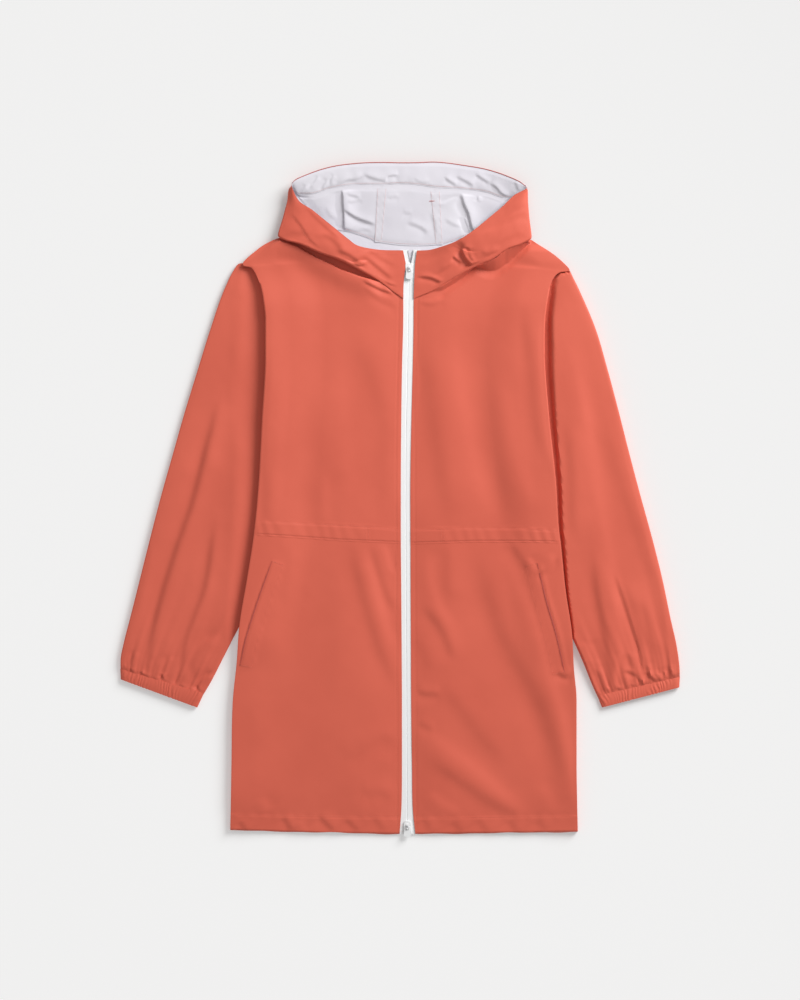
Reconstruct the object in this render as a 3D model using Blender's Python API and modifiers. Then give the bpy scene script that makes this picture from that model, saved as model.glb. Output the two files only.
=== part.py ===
# A hooded rain jacket laid flat on its back: two fronts on one back, flattened sleeves with gathered
# cuffs, a three-panel hood lying open, and a two-way zip whose two pull tabs swing.
# Metres, +Z up. The jacket lies on z = 0, its hood towards +Y, the wearer's left towards +X.

import math
from collections import namedtuple

import bpy
import bmesh
from mathutils import Vector
from mathutils.bvhtree import BVHTree

MM = 0.001                  # the tables below are in millimetres

# Cloth and layers
WALL = 0.0012               # every cloth wall
THIN = 0.0010               # tapes, facing, casing and welts
GAP = 0.0003                # between two pieces at a seam
LAYER = WALL + GAP          # from the middle of one wall to the middle of the next
BACK_MIDDLE = WALL / 2      # the back lies on the surface

# Body
ROW_SPACING = 0.032         # between two rows of points down a panel
SIDE_LIFT = 0.0035          # the body's sides ride over the sleeves' hidden edges
SIDE_FLAT = 0.040           # width of that raised strip
SIDE_RAMP = 0.050           # and of the slope inside it
LIFT_STARTS = (-0.262, -0.202)   # along the side, below the sleeves
LIFT_ENDS = (0.352, 0.387)       # and at the shoulder
FRONT_SLACK = 0.0007        # the fronts bow up a little between zip and side
ZIP_LIFT = 0.0013           # the front edges lie on the zip tape
ZIP_FLAT = 0.024            # over this width,
ZIP_RAMP = 0.045            # and come down over this one
SWELL_ROUNDING = 0.7        # how soon a front's swell is full, below 1 for a rounder edge
NECK_BLEND = 1.5            # how late the back's rows bend to the neck's curve

# Sleeve and cuff
SLEEVE_EDGE = 0.0032        # thickness of the flat tube at its folded edges
SLEEVE_SPACING = 0.036
SLEEVE_DIP = 0.012          # the sleeve stays low for this far outside the body's edge
SLEEVE_SLOPE = 0.035        # and then rises over this
SWELL_EDGE = 0.25           # share of the width over which it rises from its outer fold
SLEEVE_WAVES = 4            # gathers that run up from the cuff
CUFF_THICKNESS = 0.0052
CUFF_WAVE = 0.0006          # height of one gather
CUFF_WAVES = 25             # gathers across one side
TUBE_STEPS = 12             # points over a sleeve's upper side
TUBE_UNDER_STEPS = 7        # and along its underside

# Zip
TAPE_HALF = 0.0150          # from the zip's line to the tape's outer edge
TAPE_SHOWN = 0.0070
TAPE_TOP_Y = 0.3745
TAPE_BOTTOM_Y = -0.5005
TAPE_MIDDLE = 2 * BACK_MIDDLE + GAP + THIN / 2
TAPE_STEPS = 28
SLIDER_LENGTH = 0.0170
SLIDER_WIDTH = 0.0122
SLIDER_TAIL = 0.0094        # its narrower end
SLIDER_THICKNESS = 0.0026
PULL_LENGTH = 0.0150
PULL_WIDTH = 0.0112
PULL_THICKNESS = 0.0012
PULL_SEAT = 0.00035         # between a resting pull tab and its slider
BRIDGE_HALF = 0.0032        # from the hinge line to each leg of the bridge
BRIDGE_WIRE = 0.0012
BRIDGE_WIDTH = 0.0030
BRIDGE_ROOM = 0.0012        # from the hinge line up to the bridge's roof
PULL_CLEARANCE = 0.0005
SLIDER_ROUNDING = 0.0028
PULL_ROUNDING = 0.0034
PULL_NECK = 0.72            # the pull tab's width at its hinge, as a share of its full width
METAL_EDGE = 0.0004         # bevel on the slider's edges

# Hood
CROWN_THICKNESS = 0.0049    # the hood's hidden folded layers
CROWN_INSET = 0.0050
UNDER_STEPS = 6             # points from the neck seam to the fold
TOP_STEPS = 4               # and from the fold to the rim
FOLD_RADIUS = 0.0028
HOOD_SPACING = 0.020
UNDER_RISE = 0.3            # share of the lower layer over which it climbs onto the crown's layers
RIM_CURVE = 1.3             # how late the upper layer rises to the rim
SEAM_TAPE_HALF = 0.0075

# The body's outline, a row for each section from the hem up to the shoulder: the right side edge, the
# right front's zip or neck edge, the left front's, and the left side edge.
Section = namedtuple("Section", "right_x right_y right_in_x right_in_y left_in_x left_in_y left_x left_y")
BODY = (
    Section(-254.0, -494.5, -0.6, -500.5, 23.0, -500.5, 266.0, -497.0),
    Section(-253.0, -455.0, 2.2, -460.0, 19.0, -460.0, 265.0, -456.0),
    Section(-252.0, -396.0, 2.9, -400.0, 18.0, -400.0, 264.0, -396.0),
    Section(-250.0, -300.0, 2.9, -300.0, 16.8, -300.0, 264.0, -300.0),
    Section(-244.0, -241.0, 2.6, -240.0, 16.5, -246.0, 260.0, -252.0),
    Section(-240.0, -188.0, 2.3, -190.0, 16.3, -195.0, 257.0, -201.0),
    Section(-228.0, -115.0, 1.8, -125.0, 16.0, -128.0, 247.0, -132.0),
    Section(-218.5, -53.0, 1.3, -65.5, 15.8, -66.0, 240.0, -64.5),
    Section(-216.0, -31.0, 1.2, -43.0, 15.7, -43.5, 237.5, -45.0),
    Section(-211.5, 20.0, 1.2, 10.0, 15.6, 12.0, 233.5, 20.0),
    Section(-206.0, 120.0, 1.8, 110.0, 17.0, 112.0, 222.5, 128.0),
    Section(-201.0, 215.0, 3.2, 205.0, 19.2, 206.0, 216.0, 222.0),
    Section(-201.0, 269.0, 4.6, 264.0, 20.3, 264.0, 216.5, 264.0),
    Section(-204.5, 305.0, 1.5, 304.0, 25.0, 305.0, 221.0, 305.0),
    Section(-211.0, 327.0, -24.0, 335.0, 54.0, 329.0, 227.0, 330.0),
    Section(-222.0, 347.0, -62.0, 358.0, 84.0, 354.0, 239.0, 340.5),
    Section(-235.0, 353.0, -92.0, 374.0, 110.0, 366.0, 253.5, 344.0),
    Section(-214.0, 374.0, -115.0, 389.0, 134.0, 380.0, 237.0, 361.5),
    Section(-185.0, 391.5, -132.0, 407.0, 154.0, 407.0, 197.0, 389.5),
)
CASING_ROW = 7              # the waist casing lies between this section and the next
NECK_ROW = 13               # the fronts meet the neck seam at this section

# The back's upper edge, under the hood, from shoulder to shoulder
NeckPoint = namedtuple("NeckPoint", "x y")
BACK_NECK = (
    NeckPoint(-185.0, 391.5), NeckPoint(-132.0, 408.0), NeckPoint(-84.0, 404.5), NeckPoint(-45.0, 393.0),
    NeckPoint(0.0, 385.5), NeckPoint(22.0, 384.5), NeckPoint(60.0, 386.5), NeckPoint(109.5, 401.0),
    NeckPoint(154.0, 408.0), NeckPoint(197.0, 389.5),
)
# Where a row's points lie between the edges, closer together where the sides slope
FRONT_COLUMNS = (0.0, 0.1, 0.2, 0.33, 0.47, 0.6, 0.71, 0.81, 0.9, 1.0)
BACK_COLUMNS = (0.0, 0.05, 0.1, 0.155, 0.21, 0.29, 0.39, 0.5, 0.61, 0.71, 0.79, 0.845, 0.9, 0.95, 1.0)

# The fronts' main folds: soft ridges from one point to another
Fold = namedtuple("Fold", "x1 y1 x2 y2 width height")
FOLDS = (
    Fold(-148, 240, -146, 0, 22, 1.3),
    Fold(-95, 220, -92, 20, 18, 0.9),
    Fold(-38, 240, -36, 30, 18, 0.8),
    Fold(76, 220, 74, 20, 18, 0.8),
    Fold(122, 240, 120, 10, 20, 1.1),
    Fold(168, 230, 172, 10, 20, 1.2),
    Fold(-70, -80, -48, -190, 18, 1.2),
    Fold(-48, -190, -12, -270, 18, 1.0),
    Fold(-190, -300, -150, -470, 26, 0.9),
    Fold(135, -80, 205, -250, 20, 1.2),
    Fold(90, -80, 110, -210, 18, 0.8),
    Fold(40, -330, 135, -390, 18, 1.3),
    Fold(135, -390, 205, -470, 18, 1.2),
    Fold(55, -392, 125, -434, 16, 0.9),
)

# A sleeve's stations from the armhole to the cuff, for the right sleeve and the left: its outer fold,
# its inner fold, how far the line between them bows towards the body, how far its upper side rises, and
# the height of its gathers.
Station = namedtuple("Station", "out_x out_y in_x in_y bow rise ripple")
RIGHT_SLEEVE = (
    Station(-224.0, 352.0, -194.0, 180.0, 20.0, 0.0, 0.0),
    Station(-238.0, 352.5, -191.0, 160.0, 26.0, 0.0, 0.0),
    Station(-261.0, 318.0, -187.0, 135.0, 24.0, 0.0, 0.0),
    Station(-284.0, 256.0, -184.0, 95.0, 12.0, 1.6, 0.0),
    Station(-303.0, 195.0, -183.0, 55.0, 5.0, 2.8, 0.0),
    Station(-322.0, 133.0, -184.0, 10.0, 2.0, 3.2, 0.0),
    Station(-340.5, 68.0, -188.0, -40.0, 0.0, 3.2, 0.0),
    Station(-358.5, 4.0, -196.0, -88.0, 0.0, 3.2, 0.0),
    Station(-375.0, -60.0, -208.0, -130.0, 0.0, 3.2, 0.0),
    Station(-390.0, -120.0, -226.0, -166.0, 0.0, 3.2, 0.0),
    Station(-403.0, -172.0, -244.0, -195.0, 0.0, 3.2, 0.2),
    Station(-413.5, -213.0, -265.0, -236.0, 0.0, 3.0, 0.5),
    Station(-418.5, -242.0, -285.0, -275.0, 0.0, 2.6, 0.8),
    Station(-418.5, -254.5, -294.5, -291.0, 0.0, 2.2, 0.7),
)
LEFT_SLEEVE = (
    Station(242.0, 346.0, 209.0, 180.0, 20.0, 0.0, 0.0),
    Station(256.0, 345.5, 205.0, 160.0, 26.0, 0.0, 0.0),
    Station(272.0, 306.0, 203.0, 135.0, 24.0, 0.0, 0.0),
    Station(292.0, 258.0, 201.0, 95.0, 12.0, 1.6, 0.0),
    Station(310.0, 197.0, 201.0, 55.0, 5.0, 2.8, 0.0),
    Station(326.0, 137.0, 202.0, 10.0, 2.0, 3.2, 0.0),
    Station(343.5, 68.0, 207.0, -40.0, 0.0, 3.2, 0.0),
    Station(360.5, 4.0, 215.0, -90.0, 0.0, 3.2, 0.0),
    Station(377.0, -56.0, 227.0, -134.0, 0.0, 3.2, 0.0),
    Station(392.0, -116.0, 242.0, -172.0, 0.0, 3.2, 0.0),
    Station(405.0, -178.0, 260.0, -210.0, 0.0, 3.2, 0.2),
    Station(414.0, -218.0, 275.0, -244.0, 0.0, 3.0, 0.5),
    Station(418.5, -252.0, 290.0, -281.0, 0.0, 2.6, 0.8),
    Station(419.0, -266.0, 296.5, -295.0, 0.0, 2.2, 0.7),
)
# A cuff's two edges: the sleeve's end, and the open mouth
CuffEdge = namedtuple("CuffEdge", "out_x out_y in_x in_y")
RIGHT_CUFF = (CuffEdge(-418.5, -254.8, -294.8, -291.4), CuffEdge(-418.0, -268.5, -304.0, -310.5))
LEFT_CUFF = (CuffEdge(419.0, -266.3, 296.8, -295.4), CuffEdge(418.0, -280.5, 303.0, -310.5))

# The zip's line, from the hem up
ZipPoint = namedtuple("ZipPoint", "y x open")
ZIP_LINE = (
    ZipPoint(-500.5, 11.2, 3.4), ZipPoint(-480.0, 10.8, 0.2), ZipPoint(-300.0, 9.9, 0.2),
    ZipPoint(15.0, 8.4, 0.2), ZipPoint(105.0, 9.0, 0.2), ZipPoint(195.0, 11.0, 0.2),
    ZipPoint(285.0, 12.6, 0.2), ZipPoint(352.0, 14.0, 0.2), ZipPoint(374.5, 15.0, 2.4),
)
TOP_HINGE_Y = 0.3458
BOTTOM_HINGE_Y = -0.4890

# The slanted pockets' welts: the opening's two ends, and how wide the welt is
Welt = namedtuple("Welt", "top_x top_y bottom_x bottom_y width")
RIGHT_WELT = Welt(-191.0, -90.0, -238.0, -248.0, 20.0)
LEFT_WELT = Welt(205.0, -93.0, 246.0, -258.0, 20.0)
WELT_BEND = 5.0             # the opening's line curves out by this in the middle
WELT_LIFT = 0.0004          # its gap to the front, whose facets it crosses
WELT_STEPS = 8

# The hood, a row for each line from the neck seam over the fold to the rim. Heights are of the middle
# of the wall: at the neck seam, just under and just over the fold, and at the rim.
Line = namedtuple("Line", "end_x end_y end_z fold_x fold_y low high rim_x rim_y rim_z")
RIGHT_HOOD = (
    Line(-32.5, 386.2, 2.1, -27.0, 468.7, 5.8, 6.6, -24.0, 504.0, 19.0),
    Line(-57.0, 396.0, 2.1, -64.5, 468.7, 5.8, 6.6, -66.0, 502.5, 19.5),
    Line(-81.0, 402.7, 2.1, -105.0, 462.7, 5.8, 6.8, -108.0, 496.0, 20.0),
    Line(-99.0, 405.0, 2.1, -134.0, 454.5, 5.8, 7.5, -141.0, 484.5, 20.0),
    Line(-111.0, 405.7, 2.1, -150.0, 455.0, 6.2, 9.0, -156.0, 477.5, 19.0),
    Line(-118.5, 405.7, 2.3, -163.0, 466.5, 8.0, 12.5, -161.5, 471.5, 18.0),
    Line(-124.5, 406.0, 2.6, -168.7, 445.5, 7.0, 13.5, -153.0, 448.0, 17.0),
    Line(-128.2, 406.5, 3.2, -175.5, 420.0, 7.0, 14.0, -135.0, 433.5, 17.0),
    Line(-131.5, 405.7, 3.7, -182.3, 395.3, 8.0, 14.5, -117.0, 420.0, 17.0),
    Line(-129.7, 402.7, 3.8, -174.0, 389.3, 8.5, 14.5, -108.0, 409.5, 17.0),
    Line(-120.0, 393.0, 3.8, -150.0, 382.5, 9.0, 14.5, -99.0, 400.5, 16.5),
    Line(-100.5, 378.0, 3.9, -123.0, 370.5, 9.0, 14.0, -85.5, 389.3, 15.5),
    Line(-75.0, 364.5, 4.1, -90.0, 358.5, 8.5, 13.0, -66.0, 380.3, 14.0),
    Line(-49.5, 351.7, 4.9, -60.0, 343.5, 7.5, 10.5, -42.0, 375.7, 11.0),
    Line(-22.5, 333.7, 5.2, -28.5, 326.3, 6.5, 8.5, -18.0, 373.5, 8.5),
    Line(2.0, 308.0, 5.3, 1.0, 301.5, 5.5, 6.0, 4.5, 373.5, 6.0),
)
LEFT_HOOD = (
    Line(58.5, 382.5, 2.1, 52.5, 464.2, 5.8, 6.6, 49.5, 504.6, 19.0),
    Line(82.5, 389.2, 2.1, 93.0, 462.0, 5.8, 6.6, 96.0, 499.5, 19.5),
    Line(103.5, 396.7, 2.1, 130.5, 456.7, 5.8, 6.8, 133.5, 492.3, 20.0),
    Line(120.0, 401.2, 2.1, 157.0, 449.0, 5.8, 7.5, 160.5, 483.0, 20.0),
    Line(132.0, 404.2, 2.1, 175.5, 450.0, 6.2, 9.0, 178.5, 474.7, 19.0),
    Line(139.5, 405.2, 2.3, 190.5, 462.7, 8.0, 12.5, 189.0, 466.8, 18.0),
    Line(146.2, 406.0, 2.6, 191.2, 445.5, 7.0, 13.5, 174.0, 455.2, 17.0),
    Line(150.7, 406.5, 3.2, 193.2, 421.5, 7.0, 14.0, 158.2, 439.5, 17.0),
    Line(153.7, 405.7, 3.7, 196.5, 392.3, 8.0, 14.5, 141.0, 425.2, 17.0),
    Line(152.2, 400.5, 3.8, 183.0, 383.3, 8.5, 14.5, 129.0, 414.7, 17.0),
    Line(141.0, 387.7, 3.8, 160.5, 374.3, 9.0, 14.5, 117.0, 403.5, 16.5),
    Line(122.2, 373.5, 3.9, 136.5, 358.5, 9.0, 14.0, 102.0, 393.7, 15.5),
    Line(100.5, 362.2, 4.1, 112.5, 348.7, 8.5, 13.0, 87.0, 384.0, 14.0),
    Line(78.0, 348.0, 4.9, 87.0, 336.0, 7.5, 10.5, 66.0, 378.0, 11.0),
    Line(51.0, 328.5, 5.2, 54.0, 316.5, 6.5, 8.5, 45.0, 374.2, 8.5),
    Line(26.5, 309.0, 5.3, 27.5, 301.5, 5.5, 6.0, 25.5, 373.5, 6.0),
)
HOOD_CORNER = 5             # the rim's top edge ends, and its front edge starts, at this line
CROWN_LAST = 7              # the hidden layers lie under the lines up to this one
CENTRE_HOOD = (
    Line(-3.0, 382.2, 2.1, 0.0, 469.8, 5.8, 6.6, 0.0, 503.5, 19.0),
    Line(27.0, 381.0, 2.1, 27.0, 468.0, 5.8, 6.6, 25.5, 503.7, 19.0),
)

SHELL = ("shell_cloth", (0.62, 0.135, 0.07, 1.0), 0.62, 0.0)
INSIDE = ("hood_inside", (0.76, 0.73, 0.80, 1.0), 0.6, 0.0)
ZIP = ("zip_tape", (0.82, 0.82, 0.84, 1.0), 0.5, 0.0)
METAL = ("zip_hardware", (0.85, 0.85, 0.87, 1.0), 0.35, 0.0)


def clear_scene():
    for obj in list(bpy.data.objects):
        bpy.data.objects.remove(obj, do_unlink=True)


def new_collection(name):
    collection = bpy.data.collections.new(name)
    bpy.context.scene.collection.children.link(collection)
    return collection


def new_material(node, finish):
    name, colour, roughness, metallic = finish
    material = bpy.data.materials.new(node + "_" + name)
    material.use_nodes = True
    shader = material.node_tree.nodes["Principled BSDF"]
    shader.inputs["Base Color"].default_value = colour
    shader.inputs["Roughness"].default_value = roughness
    shader.inputs["Metallic"].default_value = metallic
    material.diffuse_color = colour
    return material


def place(name, mesh, finish, collection):
    obj = bpy.data.objects.new(name, mesh)
    collection.objects.link(obj)
    obj.data.materials.append(new_material(name, finish))
    return obj


def smooth_step(low, high, value):
    share = min(max((value - low) / (high - low), 0.0), 1.0)
    return share * share * (3 - 2 * share)


def blend(before, start, end, after, lengths, share):
    """One number of the smooth curve from start to end, given its neighbours and the three lengths."""
    first, middle, last = lengths
    leaving = (end - before) * middle / (first + middle)
    arriving = (after - start) * middle / (middle + last)
    square = share * share
    cube = square * share
    return (
        (2 * cube - 3 * square + 1) * start
        + (cube - 2 * square + share) * leaving
        + (3 * square - 2 * cube) * end
        + (cube - square) * arriving
    )


def smooth_rows(table, spacing):
    """The table's rows with smooth ones between them, and the index of each table row among them."""
    kind = type(table[0])
    gaps = [max(abs(a - b) for a, b in zip(row, after)) for row, after in zip(table, table[1:])]
    rows = []
    marks = []
    for i, gap in enumerate(gaps):
        around = [table[max(i - 1, 0)], table[i], table[i + 1], table[min(i + 2, len(table) - 1)]]
        lengths = (gaps[max(i - 1, 0)], gap, gaps[min(i + 1, len(gaps) - 1)])
        steps = max(1, round(gap * MM / spacing))
        marks.append(len(rows))
        for j in range(steps):
            rows.append(kind(*(blend(*values, lengths, j / steps) for values in zip(*around))))
    marks.append(len(rows))
    rows.append(table[-1])
    return [kind(*(value * MM for value in row)) for row in rows], marks


def along(points, key, value, wanted):
    """Linear reading of one column of a table of rows by another column that grows."""
    for row, after in zip(points, points[1:]):
        if getattr(after, key) >= value:
            break
    low, high = getattr(row, key), getattr(after, key)
    share = min(max((value - low) / (high - low), 0.0), 1.0)
    return getattr(row, wanted) * (1 - share) + getattr(after, wanted) * share


def grid_mesh(name, rows, ring=False):
    """An open sheet through rows of points, each row closed into a ring where asked."""
    shape = bmesh.new()
    made = [[shape.verts.new(point) for point in row] for row in rows]
    for row, after in zip(made, made[1:]):
        count = len(row)
        for i in range(count if ring else count - 1):
            j = (i + 1) % count
            shape.faces.new((row[i], row[j], after[j], after[i]))
    bmesh.ops.recalc_face_normals(shape, faces=shape.faces)
    mesh = bpy.data.meshes.new(name)
    shape.to_mesh(mesh)
    shape.free()
    mesh.shade_smooth()
    return mesh


def add_sheet(name, rows, finish, collection, wall=WALL, ring=False):
    """A cloth wall whose middle runs through the rows."""
    obj = place(name, grid_mesh(name, rows, ring), finish, collection)
    solidify = obj.modifiers.new("Wall", "SOLIDIFY")
    solidify.thickness = wall
    solidify.offset = 0.0
    return obj


def side_distance(x, y, rows):
    """How far a point of the body lies inside its nearer side edge."""
    return min(x - along(rows, "right_y", y, "right_x"), along(rows, "left_y", y, "left_x") - x)


def back_height(x, y, rows):
    inside = side_distance(x, y, rows)
    across = 1 - smooth_step(SIDE_FLAT, SIDE_FLAT + SIDE_RAMP, inside)
    lengthwise = smooth_step(*LIFT_STARTS, y) * (1 - smooth_step(*LIFT_ENDS, y))
    return BACK_MIDDLE + SIDE_LIFT * across * lengthwise


def fold_height(x, y):
    height = 0.0
    for fold in FOLDS:
        start = Vector((fold.x1, fold.y1)) * MM
        span = Vector((fold.x2, fold.y2)) * MM - start
        offset = Vector((x, y)) - start
        share = offset.dot(span) / span.length_squared
        nearest = start + span * min(max(share, 0.0), 1.0)
        distance = (Vector((x, y)) - nearest).length / (fold.width * MM)
        height += fold.height * MM * math.exp(-distance * distance)
    return height


def front_height(x, y, share, rows):
    """The height of a front's wall, share being 0 at its zip or neck edge and 1 at its side."""
    to_zip = abs(x - along(ZIP_POINTS, "y", y, "x"))
    lift = ZIP_LIFT * (1 - smooth_step(ZIP_FLAT, ZIP_FLAT + ZIP_RAMP, to_zip))
    open_share = math.sin(math.pi * share) ** SWELL_ROUNDING
    return back_height(x, y, rows) + LAYER + lift + (FRONT_SLACK + fold_height(x, y)) * open_share


def front_rows(side, rows):
    """A front's points, row by row from the hem, from its zip edge to its side."""
    found = []
    for row in rows:
        inner = Vector((getattr(row, side + "_in_x"), getattr(row, side + "_in_y")))
        outer = Vector((getattr(row, side + "_x"), getattr(row, side + "_y")))
        line = []
        for share in FRONT_COLUMNS:
            x, y = inner.lerp(outer, share)
            line.append(Vector((x, y, front_height(x, y, share, rows))))
        found.append(line)
    return found


def back_rows(rows, neck_start):
    neck = [NeckPoint(point.x * MM, point.y * MM) for point in BACK_NECK]
    found = []
    for number, row in enumerate(rows):
        rise = max(number - neck_start, 0) / (len(rows) - 1 - neck_start)
        line = []
        for share in BACK_COLUMNS:
            x = row.right_x * (1 - share) + row.left_x * share
            y = row.right_y * (1 - share) + row.left_y * share
            last_x = rows[-1].right_x * (1 - share) + rows[-1].left_x * share
            last_y = rows[-1].right_y * (1 - share) + rows[-1].left_y * share
            y += (along(neck, "x", last_x, "y") - last_y) * rise ** NECK_BLEND
            line.append(Vector((x, y, back_height(x, y, rows))))
        found.append(line)
    return found


def moved_up(rows, distance):
    return [[point + Vector((0, 0, distance)) for point in row] for row in rows]


def make_body(rows, marks, collection):
    add_sheet("back_panel", back_rows(rows, marks[NECK_ROW]), SHELL, collection)
    for side in ("right", "left"):
        front = front_rows(side, rows)
        add_sheet("front_" + side, front, SHELL, collection)
        casing = front[marks[CASING_ROW]:marks[CASING_ROW + 1] + 1]
        raised = moved_up(casing, (WALL + THIN) / 2 + GAP)
        add_sheet("waist_casing_" + side, raised, SHELL, collection, THIN)
        make_welt(side, front, collection)


def make_welt(side, front, collection):
    """The pocket's welt lies on the front, its opening edge along a slanted, slightly curved line."""
    welt = RIGHT_WELT if side == "right" else LEFT_WELT
    inward = 1 if side == "right" else -1
    surface = grid_mesh("front_surface", front)
    tree = BVHTree.FromPolygons([v.co for v in surface.vertices], [p.vertices for p in surface.polygons])
    top = Vector((welt.top_x, welt.top_y)) * MM
    bottom = Vector((welt.bottom_x, welt.bottom_y)) * MM
    across = (bottom - top).orthogonal().normalized()
    if across.x * inward < 0:
        across = -across
    lift = (WALL + THIN) / 2 + WELT_LIFT
    rows = []
    for i in range(WELT_STEPS + 1):
        share = i / WELT_STEPS
        bend = -WELT_BEND * MM * math.sin(math.pi * share)
        line = []
        for j in range(3):
            x, y = top.lerp(bottom, share) + across * (bend + welt.width * MM * j / 2)
            hit = tree.ray_cast(Vector((x, y, 1.0)), Vector((0, 0, -1)))[0]
            line.append(Vector((x, y, hit.z + lift)))
        rows.append(line)
    bpy.data.meshes.remove(surface)
    add_sheet("pocket_welt_" + side, rows, SHELL, collection, THIN)


def tube_ring(outer, inner, bow, rise, steps):
    """One ring of a flattened tube's middle wall: over the top from the inner fold, and back beneath."""
    chord = outer - inner
    toward = Vector((-chord.y, chord.x)).normalized()
    if toward.x * inner.x > 0:
        toward = -toward
    width = chord.length
    low = WALL / 2
    edge = SLEEVE_EDGE / 2
    ring = []

    def point(share, height):
        spot = inner + chord * share + toward * bow * 4 * share * (1 - share)
        ring.append(Vector((spot.x, spot.y, height)))
        return spot

    turn = (edge - low) / width
    for i in range(steps + 1):
        share = i / steps
        spot = point(turn + (1 - 2 * turn) * share, SLEEVE_EDGE - low)
        ring[-1].z += max(rise(share, spot), 0.0)
    point(1 - 0.25 * turn, edge + 0.5 * (edge - low))
    point(1.0, edge)
    point(1 - 0.25 * turn, edge - 0.5 * (edge - low))
    for i in range(TUBE_UNDER_STEPS + 1):
        point(1 - turn - (1 - 2 * turn) * i / TUBE_UNDER_STEPS, low)
    point(0.25 * turn, edge - 0.5 * (edge - low))
    point(0.0, edge)
    point(0.25 * turn, edge + 0.5 * (edge - low))
    return ring


def make_sleeve(name, table, body, collection):
    rows, _ = smooth_rows(table, SLEEVE_SPACING)
    rings = []
    for row in rows:
        def rise(share, spot, row=row):
            outside = -side_distance(spot.x, spot.y, body)
            clear = smooth_step(SLEEVE_DIP, SLEEVE_DIP + SLEEVE_SLOPE, outside)
            swell = row.rise * smooth_step(0.0, SWELL_EDGE, 1 - share)
            waves = math.sin(2 * math.pi * SLEEVE_WAVES * share)
            ripple = row.ripple * math.sin(math.pi * share) * waves
            return clear * (swell + ripple)
        outer = Vector((row.out_x, row.out_y))
        inner = Vector((row.in_x, row.in_y))
        rings.append(tube_ring(outer, inner, row.bow, rise, TUBE_STEPS))
    add_sheet(name, rings, SHELL, collection, ring=True)


def make_cuff(name, edges, collection):
    """A short flat tube whose upper side is gathered into small even waves."""
    rings = []
    for share in (0.0, 0.5, 1.0):
        numbers = [(a * (1 - share) + b * share) * MM for a, b in zip(*edges)]
        edge = CuffEdge(*numbers)

        def rise(spot, _):
            arch = CUFF_THICKNESS - SLEEVE_EDGE
            wave = CUFF_WAVE * math.cos(2 * math.pi * CUFF_WAVES * spot)
            return (arch + wave) * math.sin(math.pi * spot) ** 0.5
        outer = Vector((edge.out_x, edge.out_y))
        inner = Vector((edge.in_x, edge.in_y))
        rings.append(tube_ring(outer, inner, 0.0, rise, 2 * CUFF_WAVES))
    add_sheet(name, rings, SHELL, collection, ring=True)


def zip_points():
    return [ZipPoint(*(value * MM for value in point)) for point in ZIP_LINE]


def make_zip_tape(side, collection):
    """One half of the zip, from its line to the hidden edge under the front."""
    outward = -1 if side == "right" else 1
    rows = []
    for i in range(TAPE_STEPS + 1):
        y = TAPE_BOTTOM_Y + (TAPE_TOP_Y - TAPE_BOTTOM_Y) * i / TAPE_STEPS
        centre = along(ZIP_POINTS, "y", y, "x")
        gap = along(ZIP_POINTS, "y", y, "open")
        offsets = (gap, TAPE_SHOWN + gap, TAPE_HALF)
        rows.append([Vector((centre + outward * offset, y, TAPE_MIDDLE)) for offset in offsets])
    add_sheet("zip_tape_" + side, rows, ZIP, collection, THIN)


def hood_line(row):
    """Points from the neck seam, under the fold and over it, to the rim."""
    end = Vector((row.end_x, row.end_y))
    fold = Vector((row.fold_x, row.fold_y))
    rim = Vector((row.rim_x, row.rim_y))
    under = fold + (end - fold).normalized() * FOLD_RADIUS
    reach = min(FOLD_RADIUS, 0.3 * (rim - fold).length)
    over = fold + (rim - fold).normalized() * reach
    points = []
    for i in range(UNDER_STEPS + 1):
        share = i / UNDER_STEPS
        x, y = end.lerp(under, share)
        points.append(Vector((x, y, row.end_z + (row.low - row.end_z) * smooth_step(0, UNDER_RISE, share))))
    points.append(Vector((fold.x, fold.y, (row.low + row.high) / 2)))
    for i in range(TOP_STEPS + 1):
        share = i / TOP_STEPS
        x, y = over.lerp(rim, share)
        points.append(Vector((x, y, row.high + (row.rim_z - row.high) * share ** RIM_CURVE)))
    return points


def shifted(row, distance):
    """The same line of the hood moved along X, for the far side of a seam."""
    return row._replace(
        end_x=row.end_x + distance, fold_x=row.fold_x + distance, rim_x=row.rim_x + distance
    )


def make_hood(collection):
    right, right_marks = smooth_rows(RIGHT_HOOD, HOOD_SPACING)
    left, left_marks = smooth_rows(LEFT_HOOD, HOOD_SPACING)
    seam = GAP / MM
    middle_table = (shifted(RIGHT_HOOD[0], seam), *CENTRE_HOOD, shifted(LEFT_HOOD[0], -seam))
    middle, _ = smooth_rows(middle_table, HOOD_SPACING)
    add_sheet("hood_side_right", [hood_line(row) for row in right], SHELL, collection)
    add_sheet("hood_side_left", [hood_line(row) for row in left], SHELL, collection)
    add_sheet("hood_centre", [hood_line(row) for row in middle], SHELL, collection)

    top_right = right[1:right_marks[HOOD_CORNER]]
    top_left = left[1:left_marks[HOOD_CORNER]]
    whole_rim = top_right[::-1] + middle + top_left
    make_facing(whole_rim, collection)
    make_seam_tape("hood_seam_tape_right", right[0], right[1], middle[1], collection)
    make_seam_tape("hood_seam_tape_left", left[0], left[1], middle[-2], collection)
    under_right = right[1:right_marks[CROWN_LAST] + 1]
    under_left = left[1:left_marks[CROWN_LAST] + 1]
    corners = (len(under_right) - right_marks[HOOD_CORNER], len(under_left) - left_marks[HOOD_CORNER])
    make_crown_layers(under_right[::-1] + middle + under_left, corners, collection)


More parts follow.
